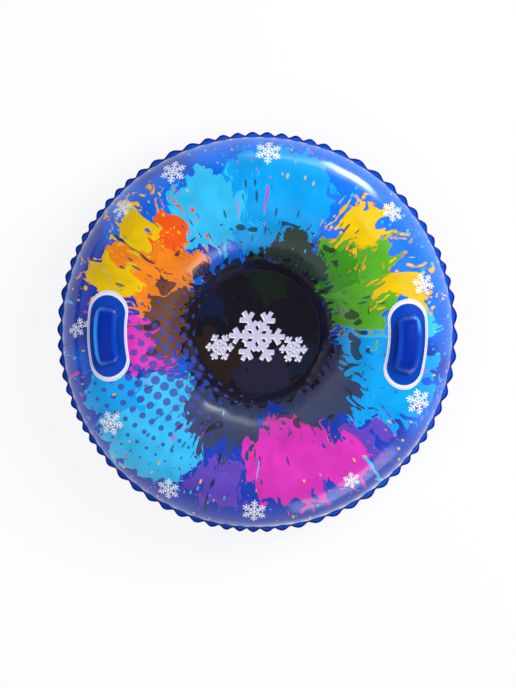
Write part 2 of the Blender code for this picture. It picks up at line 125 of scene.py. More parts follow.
# Grab handles: a white patch, and a blue moulding with a broad raised grip.
HANDLE_RADIUS = 0.325
HANDLE_DROP = 0.018
HANDLE_AZIMUTHS = {
    "left": math.pi + math.asin(HANDLE_DROP / HANDLE_RADIUS),
    "right": -math.asin(HANDLE_DROP / HANDLE_RADIUS),
}
PATCH_HALF_WIDTH = 0.043
PATCH_HALF_LENGTH = 0.098
PATCH_RISE = 0.0003
PATCH_THICKNESS = 0.0009
PATCH_EDGE_ROUND = 0.000405
BASE_HALF_WIDTH = 0.0375
BASE_HALF_LENGTH = 0.088
BASE_RISE = 0.0010
BASE_THICKNESS = 0.0026
BASE_EDGE_ROUND = 0.001
PLATE_COLUMNS = 26
PLATE_ROWS = 76
PLATE_EDGE_ANGLE = math.radians(60)
GRIP_HALF_WIDTH = 0.025
GRIP_HALF_LENGTH = 0.064
GRIP_HEIGHT = 0.0322
GRIP_THICKNESS = 0.0045
GRIP_CORNER_RADIUS = 0.016
GRIP_EDGE_DROP = 0.0026
GRIP_SQUARENESS = 3.0
GRIP_FOOT_DEPTH = 0.003
GRIP_COLUMNS = 24
GRIP_ROWS = 72
MOULDING_VOXEL = 0.0012
MOULDING_PASSES = 5

# The painted highlight along a grip's outer edge, laid differently on each handle as light falls:
# its share at the middle and its growth along the grip, and how fast it grows across the grip and,
# from a start, upwards.
GRIP_PAINTED_HIGHLIGHT = {"left": (1.2, -0.5), "right": (-0.7, 2.5)}
GRIP_HIGHLIGHT_ACROSS = 1.5
GRIP_HIGHLIGHT_UP = 2.0
GRIP_HIGHLIGHT_START = 0.6

# Air valve underneath, on the slope between the crown and the seat: its flange with a weld bead
# and a low collar, and its stem with a rolled lip, as closed sections of radius and height.
VALVE_RADIUS = 0.190
SHEET_HOLE_RADIUS = 0.0090
VALVE_SIDES = 64
CUTTER_DEPTH = 0.03
FLANGE_SECTION = (
    (0.0220, 0.0000), (0.0220, 0.0006), (0.0214, 0.0009), (0.0196, 0.0009), (0.0190, 0.0013),
    (0.0183, 0.0015), (0.0176, 0.0013), (0.0170, 0.0009), (0.0112, 0.0009), (0.0104, 0.0012),
    (0.0100, 0.0018), (0.0097, 0.0022), (0.0091, 0.0023), (0.0084, 0.0023), (0.0079, 0.0021),
    (0.0077, 0.0016), (0.0077, -0.0008), (0.0086, -0.0008), (0.0086, 0.0000),
)
STEM_REACH = 0.018
STEM_SECTION = (
    (0.0045, 0.0174), (0.0048, 0.0178), (0.0053, 0.0180), (0.0077, 0.0180), (0.0082, 0.0178),
    (0.0084, 0.0174), (0.0084, 0.0166), (0.0082, 0.0162), (0.0077, 0.0160), (0.0075, 0.0157),
    (0.0075, -0.0077), (0.0072, -0.0080), (0.0048, -0.0080), (0.0045, -0.0077),
)
LUG_INSIDE = 0.006
LUG_OUTSIDE = 0.010
LUG_HEIGHT = 0.0026
LUG_EDGE_ROUND = LUG_HEIGHT / 6
STRAP_WIDTH = 0.006
STRAP_THICKNESS = 0.0012
STRAP_BOW = 0.0011
STRAP_STEPS = 20
STRAP_COLUMNS = 6
STRAP_TURNS = (0.05 * math.pi, 0.5 * math.pi)
KNUCKLE_RADIUS = 0.001
KNUCKLE_SIDES = 24
KNUCKLE_REACH = 0.0112
KNUCKLE_DEPTH = 0.0023
PLUG_GAP = 0.0002
PLUG_HEAD_RADIUS = 0.0075
PLUG_HEAD_HEIGHT = 0.0025
PLUG_RADIUS = 0.0040
PLUG_TAPER = 0.95
PLUG_LENGTH = 0.006
DIMPLE_RIM = 0.0022
DIMPLE_DEPTH = 0.0007
PLUG_VOXEL = 0.00025
PLUG_PASSES = 4

# Limits for telling a piece's parts apart, and the angles, in degrees, below which faces shade
# as one: on cut and turned pieces, and on moulded ones.
MERGE_DISTANCE = 0.00001
LEVEL_NORMAL = 0.9
LEVEL_REACH = 0.0001
CUT_SMOOTH_ANGLE = 40
MOULDED_SMOOTH_ANGLE = 80
BEVEL_SEGMENTS = 3

# The handles' and the valve's places, where the skins lie smooth: x, y and reach.
TOP_CALM = ((-HANDLE_RADIUS, -HANDLE_DROP, 0.10), (HANDLE_RADIUS, -HANDLE_DROP, 0.10))
BOTTOM_CALM = ((0, -VALVE_RADIUS, 0.028),)


def only(obj):
    """Leaves one object selected and active, in object mode."""
    if bpy.context.object and bpy.context.object.mode != "OBJECT":
        bpy.ops.object.mode_set(mode="OBJECT")
    bpy.ops.object.select_all(action="DESELECT")
    if obj:
        bpy.context.view_layer.objects.active = obj
        obj.select_set(True)


def added(name):
    """Names the primitive that was just added and puts its place into its mesh."""
    obj = bpy.context.object
    obj.name = obj.data.name = name
    bpy.ops.object.transform_apply(location=True, rotation=True, scale=True)
    return obj


def edit_whole(obj):
    """Opens a piece in edit mode with all of it selected."""
    only(obj)
    bpy.ops.object.mode_set(mode="EDIT")
    bpy.ops.mesh.select_all(action="SELECT")


def points_of(obj, kind="co"):
    """Places, or normals, of a piece's points."""
    places = np.empty(len(obj.data.vertices) * 3)
    obj.data.vertices.foreach_get(kind, places)
    return places.reshape(-1, 3)


def round_points(obj):
    """Places of a piece's points, with their distances from the Z axis and their azimuths."""
    places = points_of(obj)
    return places, np.hypot(places[:, 0], places[:, 1]), np.arctan2(places[:, 1], places[:, 0])


def put_points(obj, places):
    """Moves a piece's points to their places."""
    obj.data.vertices.foreach_set("co", np.ascontiguousarray(places, dtype=np.float32).ravel())
    obj.data.update()


def apply_modifier(obj, kind, **settings):
    """Adds a modifier with its settings and applies it."""
    only(obj)
    made = obj.modifiers.new(kind.lower(), kind)
    for name, value in settings.items():
        setattr(made, name, value)
    bpy.ops.object.modifier_apply(modifier=made.name)


def face_towards(obj, upward):
    """Turns a sheet's faces so that, taken together, they look up or down."""
    total = sum(face.normal.z * face.area for face in obj.data.polygons)
    if (total > 0) != upward:
        edit_whole(obj)
        bpy.ops.mesh.flip_normals()
        bpy.ops.object.mode_set(mode="OBJECT")


def finish_piece(obj, body, nodes, material, smooth_angle=CUT_SMOOTH_ANGLE):
    """Shades a finished piece, gives it its finish and sets it on its body for its nodes."""
    only(obj)
    bpy.ops.object.shade_smooth_by_angle(angle=math.radians(smooth_angle))
    obj.data.materials.clear()
    obj.data.materials.append(material)
    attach(obj, body)
    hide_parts(*nodes)
    return obj


def turned_sheet(name, rows, sides, closed_middle=False):
    """An open sheet of revolution: a circle, drawn out and resized row by row."""
    only(None)
    radius, height = rows[0]
    bpy.ops.mesh.primitive_circle_add(vertices=sides, radius=radius, location=(0, 0, height))
    obj = added(name)
    edit_whole(obj)
    for (r0, z0), (r1, z1) in zip(rows, rows[1:]):
        bpy.ops.mesh.extrude_edges_move()
        bpy.ops.transform.resize(value=(r1 / r0, r1 / r0, 1), center_override=(0, 0, 0))
        bpy.ops.transform.translate(value=(0, 0, z1 - z0))
    if closed_middle:
        bpy.ops.mesh.extrude_edges_move()
        bpy.ops.mesh.merge(type="CENTER")
    bpy.ops.object.mode_set(mode="OBJECT")
    return obj


def sheet_rows(flat_depth):
    """Radius and rise of the blown-up sheet, from the inner weld over its crown to the outer one."""
    rows = []
    for step in range(INNER_ROWS):
        share = 1 - step / INNER_ROWS
        rise = SHEET_RISE * (1 - share**INNER_SLOPE_POWER)
        rows.append((CROWN_RADIUS - share * (CROWN_RADIUS - INNER_SEAM_RADIUS), rise))
    for step in range(OUTER_ROWS + 1):
        angle = math.pi / 2 * step / OUTER_ROWS
        reach = (OUTER_SEAM_RADIUS - CROWN_RADIUS) * math.sin(angle)
        rows.append((CROWN_RADIUS + reach, SHEET_RISE * math.cos(angle)))
    return [(radius, min(rise, SHEET_RISE - flat_depth)) for radius, rise in rows]


def rise_at(radius):
    """Rise of the smooth sheet over its edge at a radius, and its slope there."""
    inner_width = CROWN_RADIUS - INNER_SEAM_RADIUS
    outer_width = OUTER_SEAM_RADIUS - CROWN_RADIUS
    share = np.clip((CROWN_RADIUS - radius) / inner_width, 0, 1)
    inner = SHEET_RISE * (1 - share**INNER_SLOPE_POWER)
    inner_slope = SHEET_RISE * INNER_SLOPE_POWER / inner_width * share ** (INNER_SLOPE_POWER - 1)
    out = np.clip((radius - CROWN_RADIUS) / outer_width, 0, RIM_SHARE_LIMIT)
    outer = SHEET_RISE * np.sqrt(1 - out**2)
    outer_slope = -SHEET_RISE / outer_width * out / np.sqrt(1 - out**2)
    inside = radius < CROWN_RADIUS
    return np.where(inside, inner, outer), np.where(inside, inner_slope, outer_slope)


def scallop(azimuth):
    """0 in a valley of the edge and 1 on a peak; the peaks drift together and apart."""
    turn = SCALLOP_COUNT * azimuth
    for waves, swing, start in SCALLOP_DRIFTS:
        turn = turn + swing * np.sin(waves * (azimuth - math.radians(start)))
    return (0.5 + 0.5 * np.cos(turn)) ** SCALLOP_ROUNDNESS


def lay_uv(obj, name, across, up):
    """A UV map from two numbers at each point."""
    layer = obj.data.uv_layers.new(name=name)
    corners = np.empty(len(obj.data.loops), dtype=np.int32)
    obj.data.loops.foreach_get("vertex_index", corners)
    pairs = np.stack((np.asarray(across)[corners], np.asarray(up)[corners]), axis=1)
    layer.data.foreach_set("uv", pairs.astype(np.float32).ravel())


def keep_numbers(obj, name, *numbers):
    """Keeps three numbers at each point of a piece, for its finish."""
    layer = obj.data.attributes.new(name, "FLOAT_VECTOR", "POINT")
    layer.data.foreach_set("vector", np.stack(numbers, axis=1).astype(np.float32).ravel())


def make_ring_sheet(name, rows, pucker_depth, calm_places, upward):
    """A blown-up ring sheet with its puckers and its flat print place, before its wall."""
    obj = turned_sheet(name, rows, SHEET_SIDES)
    face_towards(obj, upward)
    places, radius, azimuth = round_points(obj)
    table = np.array(rows)
    steps = np.hypot(*np.diff(table, axis=0).T)
    flat = INNER_SEAM_RADIUS + np.concatenate(([0], np.cumsum(steps)))
    apart = np.abs(radius[:, None] - table[:, 0]) + np.abs(places[:, 2][:, None] - table[:, 1])
    flat_radius = flat[np.argmin(apart, axis=1)]
    lay_uv(obj, "print", flat_radius * np.cos(azimuth), flat_radius * np.sin(azimuth))

    from_rim = (flat[-1] - flat_radius) / PUCKER_LENGTH
    pucker = pucker_depth * (2 * scallop(azimuth) - 1) * from_rim * np.exp(1 - from_rim * PUCKER_FADE)
    swell = sum(
        share * np.sin(round_waves * azimuth + out_waves * flat_radius / CROWN_RADIUS + start)
        for round_waves, out_waves, start, share in SWELLS
    )
    edges = np.clip(np.minimum(flat[-1] - flat_radius, flat_radius - flat[0]) / PUCKER_LENGTH, 0, 1)
    for x, y, reach in calm_places:
        away = np.hypot(places[:, 0] - x, places[:, 1] - y)
        edges = edges * np.clip(away / reach - 1, 0, 1)
    depth = pucker + SWELL_DEPTH * swell * edges
    if not upward:
        depth = np.minimum(depth, np.maximum(places[:, 2], 0))
    put_points(obj, places + points_of(obj, "normal") * depth[:, None])
    return obj


def make_top_skin(material):
    """The printed upper sheet, over the CAD's flat-topped one."""
    rows = [(radius, TOP_EDGE_HEIGHT + rise) for radius, rise in sheet_rows(0)]
    rows[-1] = (OUTER_SEAM_RADIUS, SEAM_HEIGHT + EDGE_THICKNESS / 2)
    obj = make_ring_sheet("top_skin", rows, TOP_PUCKER_DEPTH, TOP_CALM, upward=True)
    apply_modifier(obj, "SOLIDIFY", thickness=SHEET_THICKNESS, offset=-1)
    return finish_piece(obj, "tube", ["top_sheet"], material)


def make_bottom_skin(material, valve):
    """The blue lower sheet, with the valve's hole cut through it."""
    rows = [(radius, BOTTOM_EDGE_HEIGHT - rise) for radius, rise in sheet_rows(REST_FLAT_DEPTH)]
    rows[-1] = (OUTER_SEAM_RADIUS, SEAM_HEIGHT - EDGE_THICKNESS / 2)
    obj = make_ring_sheet("bottom_skin", rows, BOTTOM_PUCKER_DEPTH, BOTTOM_CALM, upward=False)
    apply_modifier(obj, "SOLIDIFY", thickness=SHEET_THICKNESS, offset=-1)
    only(None)
    bpy.ops.mesh.primitive_cylinder_add(
        vertices=VALVE_SIDES, radius=SHEET_HOLE_RADIUS, depth=CUTTER_DEPTH
    )
    cutter = bpy.context.object
    cutter.matrix_world = valve
    apply_modifier(obj, "BOOLEAN", operation="DIFFERENCE", object=cutter, solver="MANIFOLD")
    bpy.data.objects.remove(cutter)
    return finish_piece(obj, "tube", ["bottom_sheet"], material)


def make_scalloped_edge(material):
    """The welded edge, drawn out of a circle under the rim and ruffled outside it."""
    root = OUTER_SEAM_RADIUS + ROOT_REACH
    peak = OUTER_SEAM_RADIUS + PEAK_REACH
    radii = [OUTER_SEAM_RADIUS - EDGE_LAP, OUTER_SEAM_RADIUS - ROOT_REACH, root]
    radii += [root + (peak - root) * step / EDGE_ROWS for step in range(1, EDGE_ROWS + 1)]
    obj = turned_sheet("scalloped_edge", [(radius, SEAM_HEIGHT) for radius in radii], EDGE_SIDES)
    face_towards(obj, upward=True)
    _, radius, azimuth = round_points(obj)
    out = np.clip((radius - root) / (peak - root), 0, 1)
    bump = scallop(azimuth)
    reach = VALLEY_REACH + (PEAK_REACH - VALLEY_REACH) * bump - ROOT_REACH
    radius = np.minimum(radius, root) + out * reach
    height = SEAM_HEIGHT - EDGE_CURL * (1 - bump) * out**CURL_POWER
    height += EDGE_BULGE * bump * np.sin(np.pi * out) - LIP_DROP * out**LIP_POWER
    put_points(obj, np.stack((radius * np.cos(azimuth), radius * np.sin(azimuth), height), axis=1))
    # The first number runs in from the lip; the finish paints shade by it.
    lay_uv(obj, "edge", (1 - out) * reach / PEAK_REACH, bump)
    apply_modifier(obj, "SOLIDIFY", thickness=EDGE_THICKNESS, offset=0)
    return finish_piece(obj, "tube", ["outer_seam_flange"], material)


def make_disc(name, level, upward, node, material):
    """A taut disc, a little slack beside its weld."""
    rows = [(PANEL_RADIUS * (1 - step / PANEL_RINGS), level) for step in range(PANEL_RINGS)]
    obj = turned_sheet(name, rows, PANEL_SIDES, closed_middle=True)
    face_towards(obj, upward)
    places, away, azimuth = round_points(obj)
    lay_uv(obj, "print", places[:, 0], places[:, 1])
    slack = 1 + sum(share * np.sin(waves * azimuth + start) for waves, start, share in SLACK_WAVES)
    side = -1 if upward else 1
    out = np.clip(away / PANEL_RADIUS, 0, 1)
    places[:, 2] += side * DISC_SLACK * slack * np.sin(np.pi * out**SLACK_POWER)
    put_points(obj, places)
    apply_modifier(obj, "SOLIDIFY", thickness=DISC_THICKNESS, offset=-1)
    return finish_piece(obj, "tube", [node], material)


def make_weld_band(material):
    """The heat-sealed band between the seat panel and the slope."""
    rows = [(BAND_OUTSIDE, BAND_TOP), (BAND_INSIDE, BAND_TOP)]
    obj = turned_sheet("seat_weld_band", rows, PANEL_SIDES)
    face_towards(obj, upward=True)
    places = points_of(obj)
    lay_uv(obj, "print", places[:, 0], places[:, 1])
    apply_modifier(obj, "SOLIDIFY", thickness=BAND_THICKNESS, offset=-1)
    return finish_piece(obj, "tube", ["inner_weld_ring"], material)


def flat_grid(name, columns, rows):
    """A flat grid from -1 to 1 both ways, and the places of its points."""
    only(None)
    bpy.ops.mesh.primitive_grid_add(x_subdivisions=columns, y_subdivisions=rows, size=2)
    obj = added(name)
    return obj, points_of(obj)


def slot_plate(name, half_width, half_length, thickness, edge_round):
    """A flat plate with round ends: a grid, fitted into the slot, raised and rounded over."""
    obj, places = flat_grid(name, PLATE_COLUMNS, PLATE_ROWS)
    straight = half_length - half_width
    reach = half_length / half_width
    end = np.clip((np.abs(places[:, 1]) * reach - (reach - 1)), 0, 1)
    middle = np.clip(np.abs(places[:, 1]) * reach, 0, reach - 1) / (reach - 1)
    across = half_width * places[:, 0] * np.sqrt(1 - end**2 / 2)
    along = straight * middle + half_width * end * np.sqrt(1 - places[:, 0] ** 2 / 2)
    put_points(obj, np.stack((across, np.sign(places[:, 1]) * along, 0 * along + thickness), axis=1))
    face_towards(obj, upward=True)
    apply_modifier(obj, "SOLIDIFY", thickness=thickness, offset=-1)
    apply_modifier(
        obj, "BEVEL", width=edge_round, segments=BEVEL_SEGMENTS,
        limit_method="ANGLE", angle_limit=PLATE_EDGE_ANGLE,
    )
    return obj


def lay_on_tube(obj, azimuth, rise):
    """Bends a flat piece, drawn with its length along Y, round the tube and onto its top skin."""
    places = points_of(obj)
    radius = HANDLE_RADIUS + places[:, 0]
    height = rise_at(radius)[0]
    tilt = math.atan(float(rise_at(np.array([HANDLE_RADIUS]))[1][0]))
    lift = places[:, 2] + rise
    turn = azimuth + places[:, 1] / HANDLE_RADIUS
    radius = radius - lift * math.sin(tilt)
    level = TOP_EDGE_HEIGHT + height + lift * math.cos(tilt)
    put_points(obj, np.stack((radius * np.cos(turn), radius * np.sin(turn), level), axis=1))


def make_patch(side, azimuth, material):
    """The white patch under a handle, which keeps each point's distance from its border."""
    obj = slot_plate(
        f"patch_{side}", PATCH_HALF_WIDTH, PATCH_HALF_LENGTH, PATCH_THICKNESS, PATCH_EDGE_ROUND
    )
    places = points_of(obj)
    end = np.maximum(np.abs(places[:, 1]) - PATCH_HALF_LENGTH + PATCH_HALF_WIDTH, 0)
    inset = PATCH_HALF_WIDTH - np.hypot(places[:, 0], end)
    keep_numbers(obj, "border", inset, 0 * inset, 0 * inset)
    lay_on_tube(obj, azimuth, PATCH_RISE)
    return finish_piece(obj, "tube", [f"handle_patch_{side}"], material)


def make_grip_strap():
    """The arched strap: a grid, bent into a square-shouldered arch with rounded corners."""
    obj, places = flat_grid("grip_strap", GRIP_COLUMNS, GRIP_ROWS)
    share = places[:, 0]
    angle = np.pi / 2 * (1 + places[:, 1])
    power = 2 / GRIP_SQUARENESS
    across = share * GRIP_HALF_WIDTH
    corner = np.clip(np.abs(across) - (GRIP_HALF_WIDTH - GRIP_CORNER_RADIUS), 0, GRIP_CORNER_RADIUS)
    end = GRIP_HALF_LENGTH - GRIP_CORNER_RADIUS + np.sqrt(GRIP_CORNER_RADIUS**2 - corner**2)
    along = -np.sign(np.cos(angle)) * np.abs(np.cos(angle)) ** power * end
    up = np.sin(angle) ** power * (GRIP_HEIGHT + GRIP_FOOT_DEPTH) - GRIP_FOOT_DEPTH
    up = up - GRIP_EDGE_DROP * np.abs(share) ** 3 * np.clip(up / GRIP_HEIGHT, 0, 1)
    put_points(obj, np.stack((across, along, up), axis=1))
    face_towards(obj, upward=True)
    apply_modifier(obj, "SOLIDIFY", thickness=GRIP_THICKNESS, offset=-1, use_even_offset=True)
    return obj


def painted_highlight_share(places, side):
    """How far along the grip the painted highlight on its outer edge reaches, from its foot to its
    shoulder.
    """
    along = places[:, 1] / GRIP_HALF_LENGTH
    middle, growth = GRIP_PAINTED_HIGHLIGHT[side]
    return middle + growth * (np.abs(along) if side == "left" else along)


def mould_together(obj, others, voxel, passes):
    """Joins pieces into one soft moulding, with fillets where they meet."""
    only(obj)
    for other in others:
        other.select_set(True)
    bpy.ops.object.join()
    obj.data.remesh_voxel_size = voxel
    bpy.ops.object.voxel_remesh()
    apply_modifier(obj, "SMOOTH", factor=0.5, iterations=passes)


def make_handle(side, azimuth, material):
    """Base plate and strap moulded into one, with soft fillets at the strap's feet."""
    base = slot_plate(
        f"grip_{side}", BASE_HALF_WIDTH, BASE_HALF_LENGTH, BASE_THICKNESS, BASE_EDGE_ROUND
    )
    mould_together(base, [make_grip_strap()], MOULDING_VOXEL, MOULDING_PASSES)
    places = points_of(base)
    corner = (GRIP_HALF_WIDTH - GRIP_CORNER_RADIUS, GRIP_HALF_LENGTH - GRIP_CORNER_RADIUS)
    past = np.abs(places[:, :2]) - corner
    inset = GRIP_CORNER_RADIUS - np.hypot(*np.maximum(past, 0).T) - np.minimum(past.max(axis=1), 0)
    # Painted highlight: its share along the grip's outer edge, kept for the finish.
    outer = np.clip(places[:, 0] / GRIP_HALF_WIDTH * GRIP_HIGHLIGHT_ACROSS, 0, 1)
    outer *= np.clip(painted_highlight_share(places, side), 0, 1)
    raised = np.clip(places[:, 2] / GRIP_HEIGHT * GRIP_HIGHLIGHT_UP - GRIP_HIGHLIGHT_START, 0, 1)
    keep_numbers(base, "moulding", inset / GRIP_HALF_WIDTH, outer, raised)
    lay_on_tube(base, azimuth, BASE_RISE)
    nodes = [f"handle_{side}"]
    return finish_piece(base, "tube", nodes, material, MOULDED_SMOOTH_ANGLE)


def valve_frame():
    """The valve's place on the bottom skin, with Z pointing out of the skin."""
    outward = -Vector(frame["joints"][0]["axis"]).normalized()
    side = Vector((-1, 0, 0))
    along = side.cross(outward)
    height = rise_at(np.array([VALVE_RADIUS]))[0]
    centre = Vector((0, -VALVE_RADIUS, BOTTOM_EDGE_HEIGHT - float(height[0])))
    turn = Matrix((along, side, outward)).transposed().to_4x4()
    return Matrix.Translation(centre) @ turn


def turned_solid(name, section, sides):
    """A hollow solid of revolution, drawn round a closed section and joined up."""
    obj = turned_sheet(name, [*section, section[0]], sides)
    edit_whole(obj)
    bpy.ops.mesh.remove_doubles(threshold=MERGE_DISTANCE)
    bpy.ops.mesh.normals_make_consistent(inside=False)
    bpy.ops.object.mode_set(mode="OBJECT")
    return obj


def pick_faces(obj, level):
    """Selects the flat faces that look up (1) or down (-1) and lie furthest that way."""
    bpy.ops.object.mode_set(mode="OBJECT")
    for part in (obj.data.vertices, obj.data.edges, obj.data.polygons):
        part.foreach_set("select", np.zeros(len(part), dtype=bool))
    furthest = max(face.center.z * level for face in obj.data.polygons)
    for face in obj.data.polygons:
        far = face.center.z * level > furthest - LEVEL_REACH
        face.select = far and face.normal.z * level > LEVEL_NORMAL
    bpy.ops.object.mode_set(mode="EDIT")
    bpy.ops.mesh.select_mode(type="FACE")


def make_valve_flange(valve, material):
    """The flange, pressed onto the sloping underside that it is welded to."""
    obj = turned_solid("valve_flange_moulding", FLANGE_SECTION, VALVE_SIDES)
    places = points_of(obj)
    flat = places * (1, 1, 0) @ np.array(valve.to_3x3()).T + np.array(valve.translation)
    radius = np.hypot(flat[:, 0], flat[:, 1])
    rise, slope = rise_at(radius)
    steep = np.sqrt(1 + slope**2)
    lift = places[:, 2]
    level = BOTTOM_EDGE_HEIGHT - rise - lift / steep
    shift = 1 - lift * slope / steep / radius
    put_points(obj, np.stack((flat[:, 0] * shift, flat[:, 1] * shift, level), axis=1))
    return finish_piece(obj, "tube", ["valve_flange"], material)


def make_valve_stem(valve, material):
    """The push-in stem: a tube with a rolled lip and a lug that the plug's strap folds beside."""
    obj = turned_solid("valve_stem_moulding", STEM_SECTION, VALVE_SIDES)
    only(None)
    middle = (-(LUG_INSIDE + LUG_OUTSIDE) / 2, 0, STEM_REACH - KNUCKLE_DEPTH)
    bpy.ops.mesh.primitive_cube_add(
        size=1, location=middle, scale=(LUG_OUTSIDE - LUG_INSIDE, STRAP_WIDTH, LUG_HEIGHT)
    )
    lug = added("strap_lug")
    apply_modifier(lug, "BEVEL", width=LUG_EDGE_ROUND, segments=BEVEL_SEGMENTS)
    apply_modifier(obj, "BOOLEAN", operation="UNION", object=lug, solver="MANIFOLD")
    bpy.data.objects.remove(lug)
    obj.data.transform(valve)
    return finish_piece(obj, "stem", ["valve_stem"], material)


def make_plug_strap():
    """The strap: a grid, bowed from its knuckle up and over into the plug's head."""
    obj, places = flat_grid("plug_strap", STRAP_STEPS, STRAP_COLUMNS)
    start, end = STRAP_TURNS
    angle = (start + end) / 2 + (end - start) / 2 * places[:, 0]
    head_x = KNUCKLE_REACH - PLUG_HEAD_RADIUS + STRAP_THICKNESS
    head_z = KNUCKLE_DEPTH + PLUG_GAP + PLUG_HEAD_HEIGHT / 2
    across = head_x - (head_x + STRAP_BOW) * np.cos(angle) - KNUCKLE_REACH
    up = head_z * np.sin(angle) + STEM_REACH - KNUCKLE_DEPTH
    put_points(obj, np.stack((across, places[:, 1] * STRAP_WIDTH / 2, up), axis=1))
    apply_modifier(obj, "SOLIDIFY", thickness=STRAP_THICKNESS, offset=0)
    return obj


def make_valve_plug(valve, material):
    """Plug, head with a finger dimple, and strap with its knuckle, as one soft moulding."""
    head_low = STEM_REACH + PLUG_GAP
    only(None)
    bpy.ops.mesh.primitive_cylinder_add(
        vertices=VALVE_SIDES, radius=PLUG_HEAD_RADIUS, depth=PLUG_HEAD_HEIGHT,
        location=(0, 0, head_low + PLUG_HEAD_HEIGHT / 2),
    )
    obj = added("valve_plug_moulding")
    pick_faces(obj, -1)
    bpy.ops.mesh.inset(thickness=PLUG_HEAD_RADIUS - PLUG_RADIUS)
    bpy.ops.mesh.extrude_region_move(TRANSFORM_OT_translate={"value": (0, 0, -PLUG_LENGTH)})
    bpy.ops.transform.resize(value=(PLUG_TAPER, PLUG_TAPER, 1), center_override=(0, 0, 0))
    pick_faces(obj, 1)
    bpy.ops.mesh.inset(thickness=DIMPLE_RIM)
    bpy.ops.mesh.inset(thickness=DIMPLE_RIM / 2)
    bpy.ops.transform.translate(value=(0, 0, -DIMPLE_DEPTH))
    bpy.ops.object.mode_set(mode="OBJECT")
    strap = make_plug_strap()
    only(None)
    bpy.ops.mesh.primitive_cylinder_add(
        vertices=KNUCKLE_SIDES, radius=KNUCKLE_RADIUS, depth=STRAP_WIDTH, rotation=(math.pi / 2, 0, 0),
        location=(-KNUCKLE_REACH, 0, STEM_REACH - KNUCKLE_DEPTH),
    )
    mould_together(obj, [strap, added("strap_knuckle")], PLUG_VOXEL, PLUG_PASSES)
    obj.data.transform(valve)
    return finish_piece(obj, "plug", ["valve_plug"], material, MOULDED_SMOOTH_ANGLE)


def used_output(node):
    """The first output of a node that is in use."""
    return next(out for out in node.outputs if out.enabled)


def add_node(tree, kind, *given, **named):
    """Adds a shader node, such as "TexNoise" or "Math ADD", to a tree.

    Its sockets are given in order or by their capitalised names, and its settings by name.
    """
    kind, *operation = kind.split()
    node = tree.nodes.new("ShaderNode" + kind)
    if operation:
        node.operation = operation[0]
    for name, value in named.items():
        if name.islower():
            setattr(node, name, value)
    inputs = list(zip((socket for socket in node.inputs if socket.enabled), given))
    inputs += [(node.inputs[name], value) for name, value in named.items() if not name.islower()]
    for socket, value in inputs:
        if isinstance(value, bpy.types.Node):
            value = used_output(value)
        if isinstance(value, bpy.types.NodeSocket):
            tree.links.new(value, socket)
        else:
            socket.default_value = value
    return node


def ink(hex_colour):
    """An sRGB hex colour in linear light."""
    channels = [int(hex_colour[at : at + 2], 16) / 255 for at in (1, 3, 5)]
    return (*[c / 12.92 if c <= 0.04045 else ((c + 0.055) / 1.055) ** 2.4 for c in channels], 1.0)


def finish_named(name, **sockets):
    """A new finish with its shader's own values set, and the function that adds nodes to it."""
    made = bpy.data.materials.new(name)
    made.use_nodes = True
    shader = made.node_tree.nodes["Principled BSDF"]
    for socket, value in sockets.items():
        shader.inputs[socket.replace("_", " ")].default_value = value
    return made, partial(add_node, made.node_tree)


def shown(made, colour, bump=None):
    """A finish, with its colour and its bump led to its shader."""
    tree = made.node_tree
    shader = tree.nodes["Principled BSDF"]
    tree.links.new(used_output(colour), shader.inputs["Base Color"])
    if bump:
        tree.links.new(bump.outputs["Normal"], shader.inputs["Normal"])
    return made


# Print inks, and where each splash of paint lies on the flat sheet: azimuth in degrees, distance
# from the middle and reach in metres, and its ink. Later ones cover earlier ones.
ULTRAMARINE = "#1B3FB6"
AZURE = "#0B74F4"
SKY = "#0AA2F2"
PALE_SKY = "#34BEF6"
GREEN = "#58AD28"
DEEP_GREEN = "#3F9A1C"
YELLOW = "#E8C006"
ORANGE = "#F2841E"
RED_ORANGE = "#F05818"
MAGENTA = "#D836B8"
VIOLET = "#6346BE"
BROWN = "#6E4630"
SLATE = "#3A4568"
MOSS = "#33453C"
DARK_CENTRE = "#16131F"
INDIGO = "#3C42A8"
FROST = "#EEF0FC"
SOOT = "#20262C"
STEEL_BLUE = "#24405A"
NAVY = "#1E3350"
SPLASHES = (
    (84, 0.325, 0.140, SKY),
    (114, 0.310, 0.095, PALE_SKY),
    (-16, 0.318, 0.134, SKY),
    (4, 0.375, 0.058, PALE_SKY),
    (226, 0.330, 0.135, PALE_SKY),
    (204, 0.385, 0.062, SKY),
    (-104, 0.375, 0.060, VIOLET),
    (-44, 0.385, 0.052, VIOLET),
    (-74, 0.315, 0.118, MAGENTA),
    (-54, 0.375, 0.050, MAGENTA),
    (150, 0.295, 0.112, ORANGE),
    (134, 0.335, 0.058, RED_ORANGE),
    (164, 0.380, 0.060, YELLOW),
    (141, 0.395, 0.052, YELLOW),
    (187, 0.262, 0.080, MAGENTA),
    (30, 0.275, 0.122, GREEN),
    (40, 0.235, 0.070, DEEP_GREEN),
    (47, 0.362, 0.050, YELLOW),
    (18, 0.376, 0.048, YELLOW),
    (174, 0.195, 0.085, BROWN),
    (250, 0.220, 0.098, SLATE),
    (-40, 0.200, 0.096, SLATE),
    (66, 0.185, 0.080, MOSS),
)
DARK_CENTRE_REACH = 0.180
DROP_REACH = 0.034
FRINGE_WIDTH = 0.0012
EDGE_BLUR = 0.0006

# How the splashes' edges are drawn, in metres: sizes of the noise that bends and tears them and
# how far it does, and the streaks and long runs, as rays round the ring and their length. A depth
# has its growth and its start; a range has a noise's or distance's from and to, and what it gives.
WANDER_SIZE = 0.07
WANDER_REACH = 0.085
RAGGED_SIZE = 0.026
RAGGED_DEPTH = 0.050
STREAKS = (105, 0.070)
STREAK_DEPTH = (0.080, -0.064)
RUNS = (240, 0.10)
RUN_RANGE = (0.66, 0.82, 0.0, -0.050)

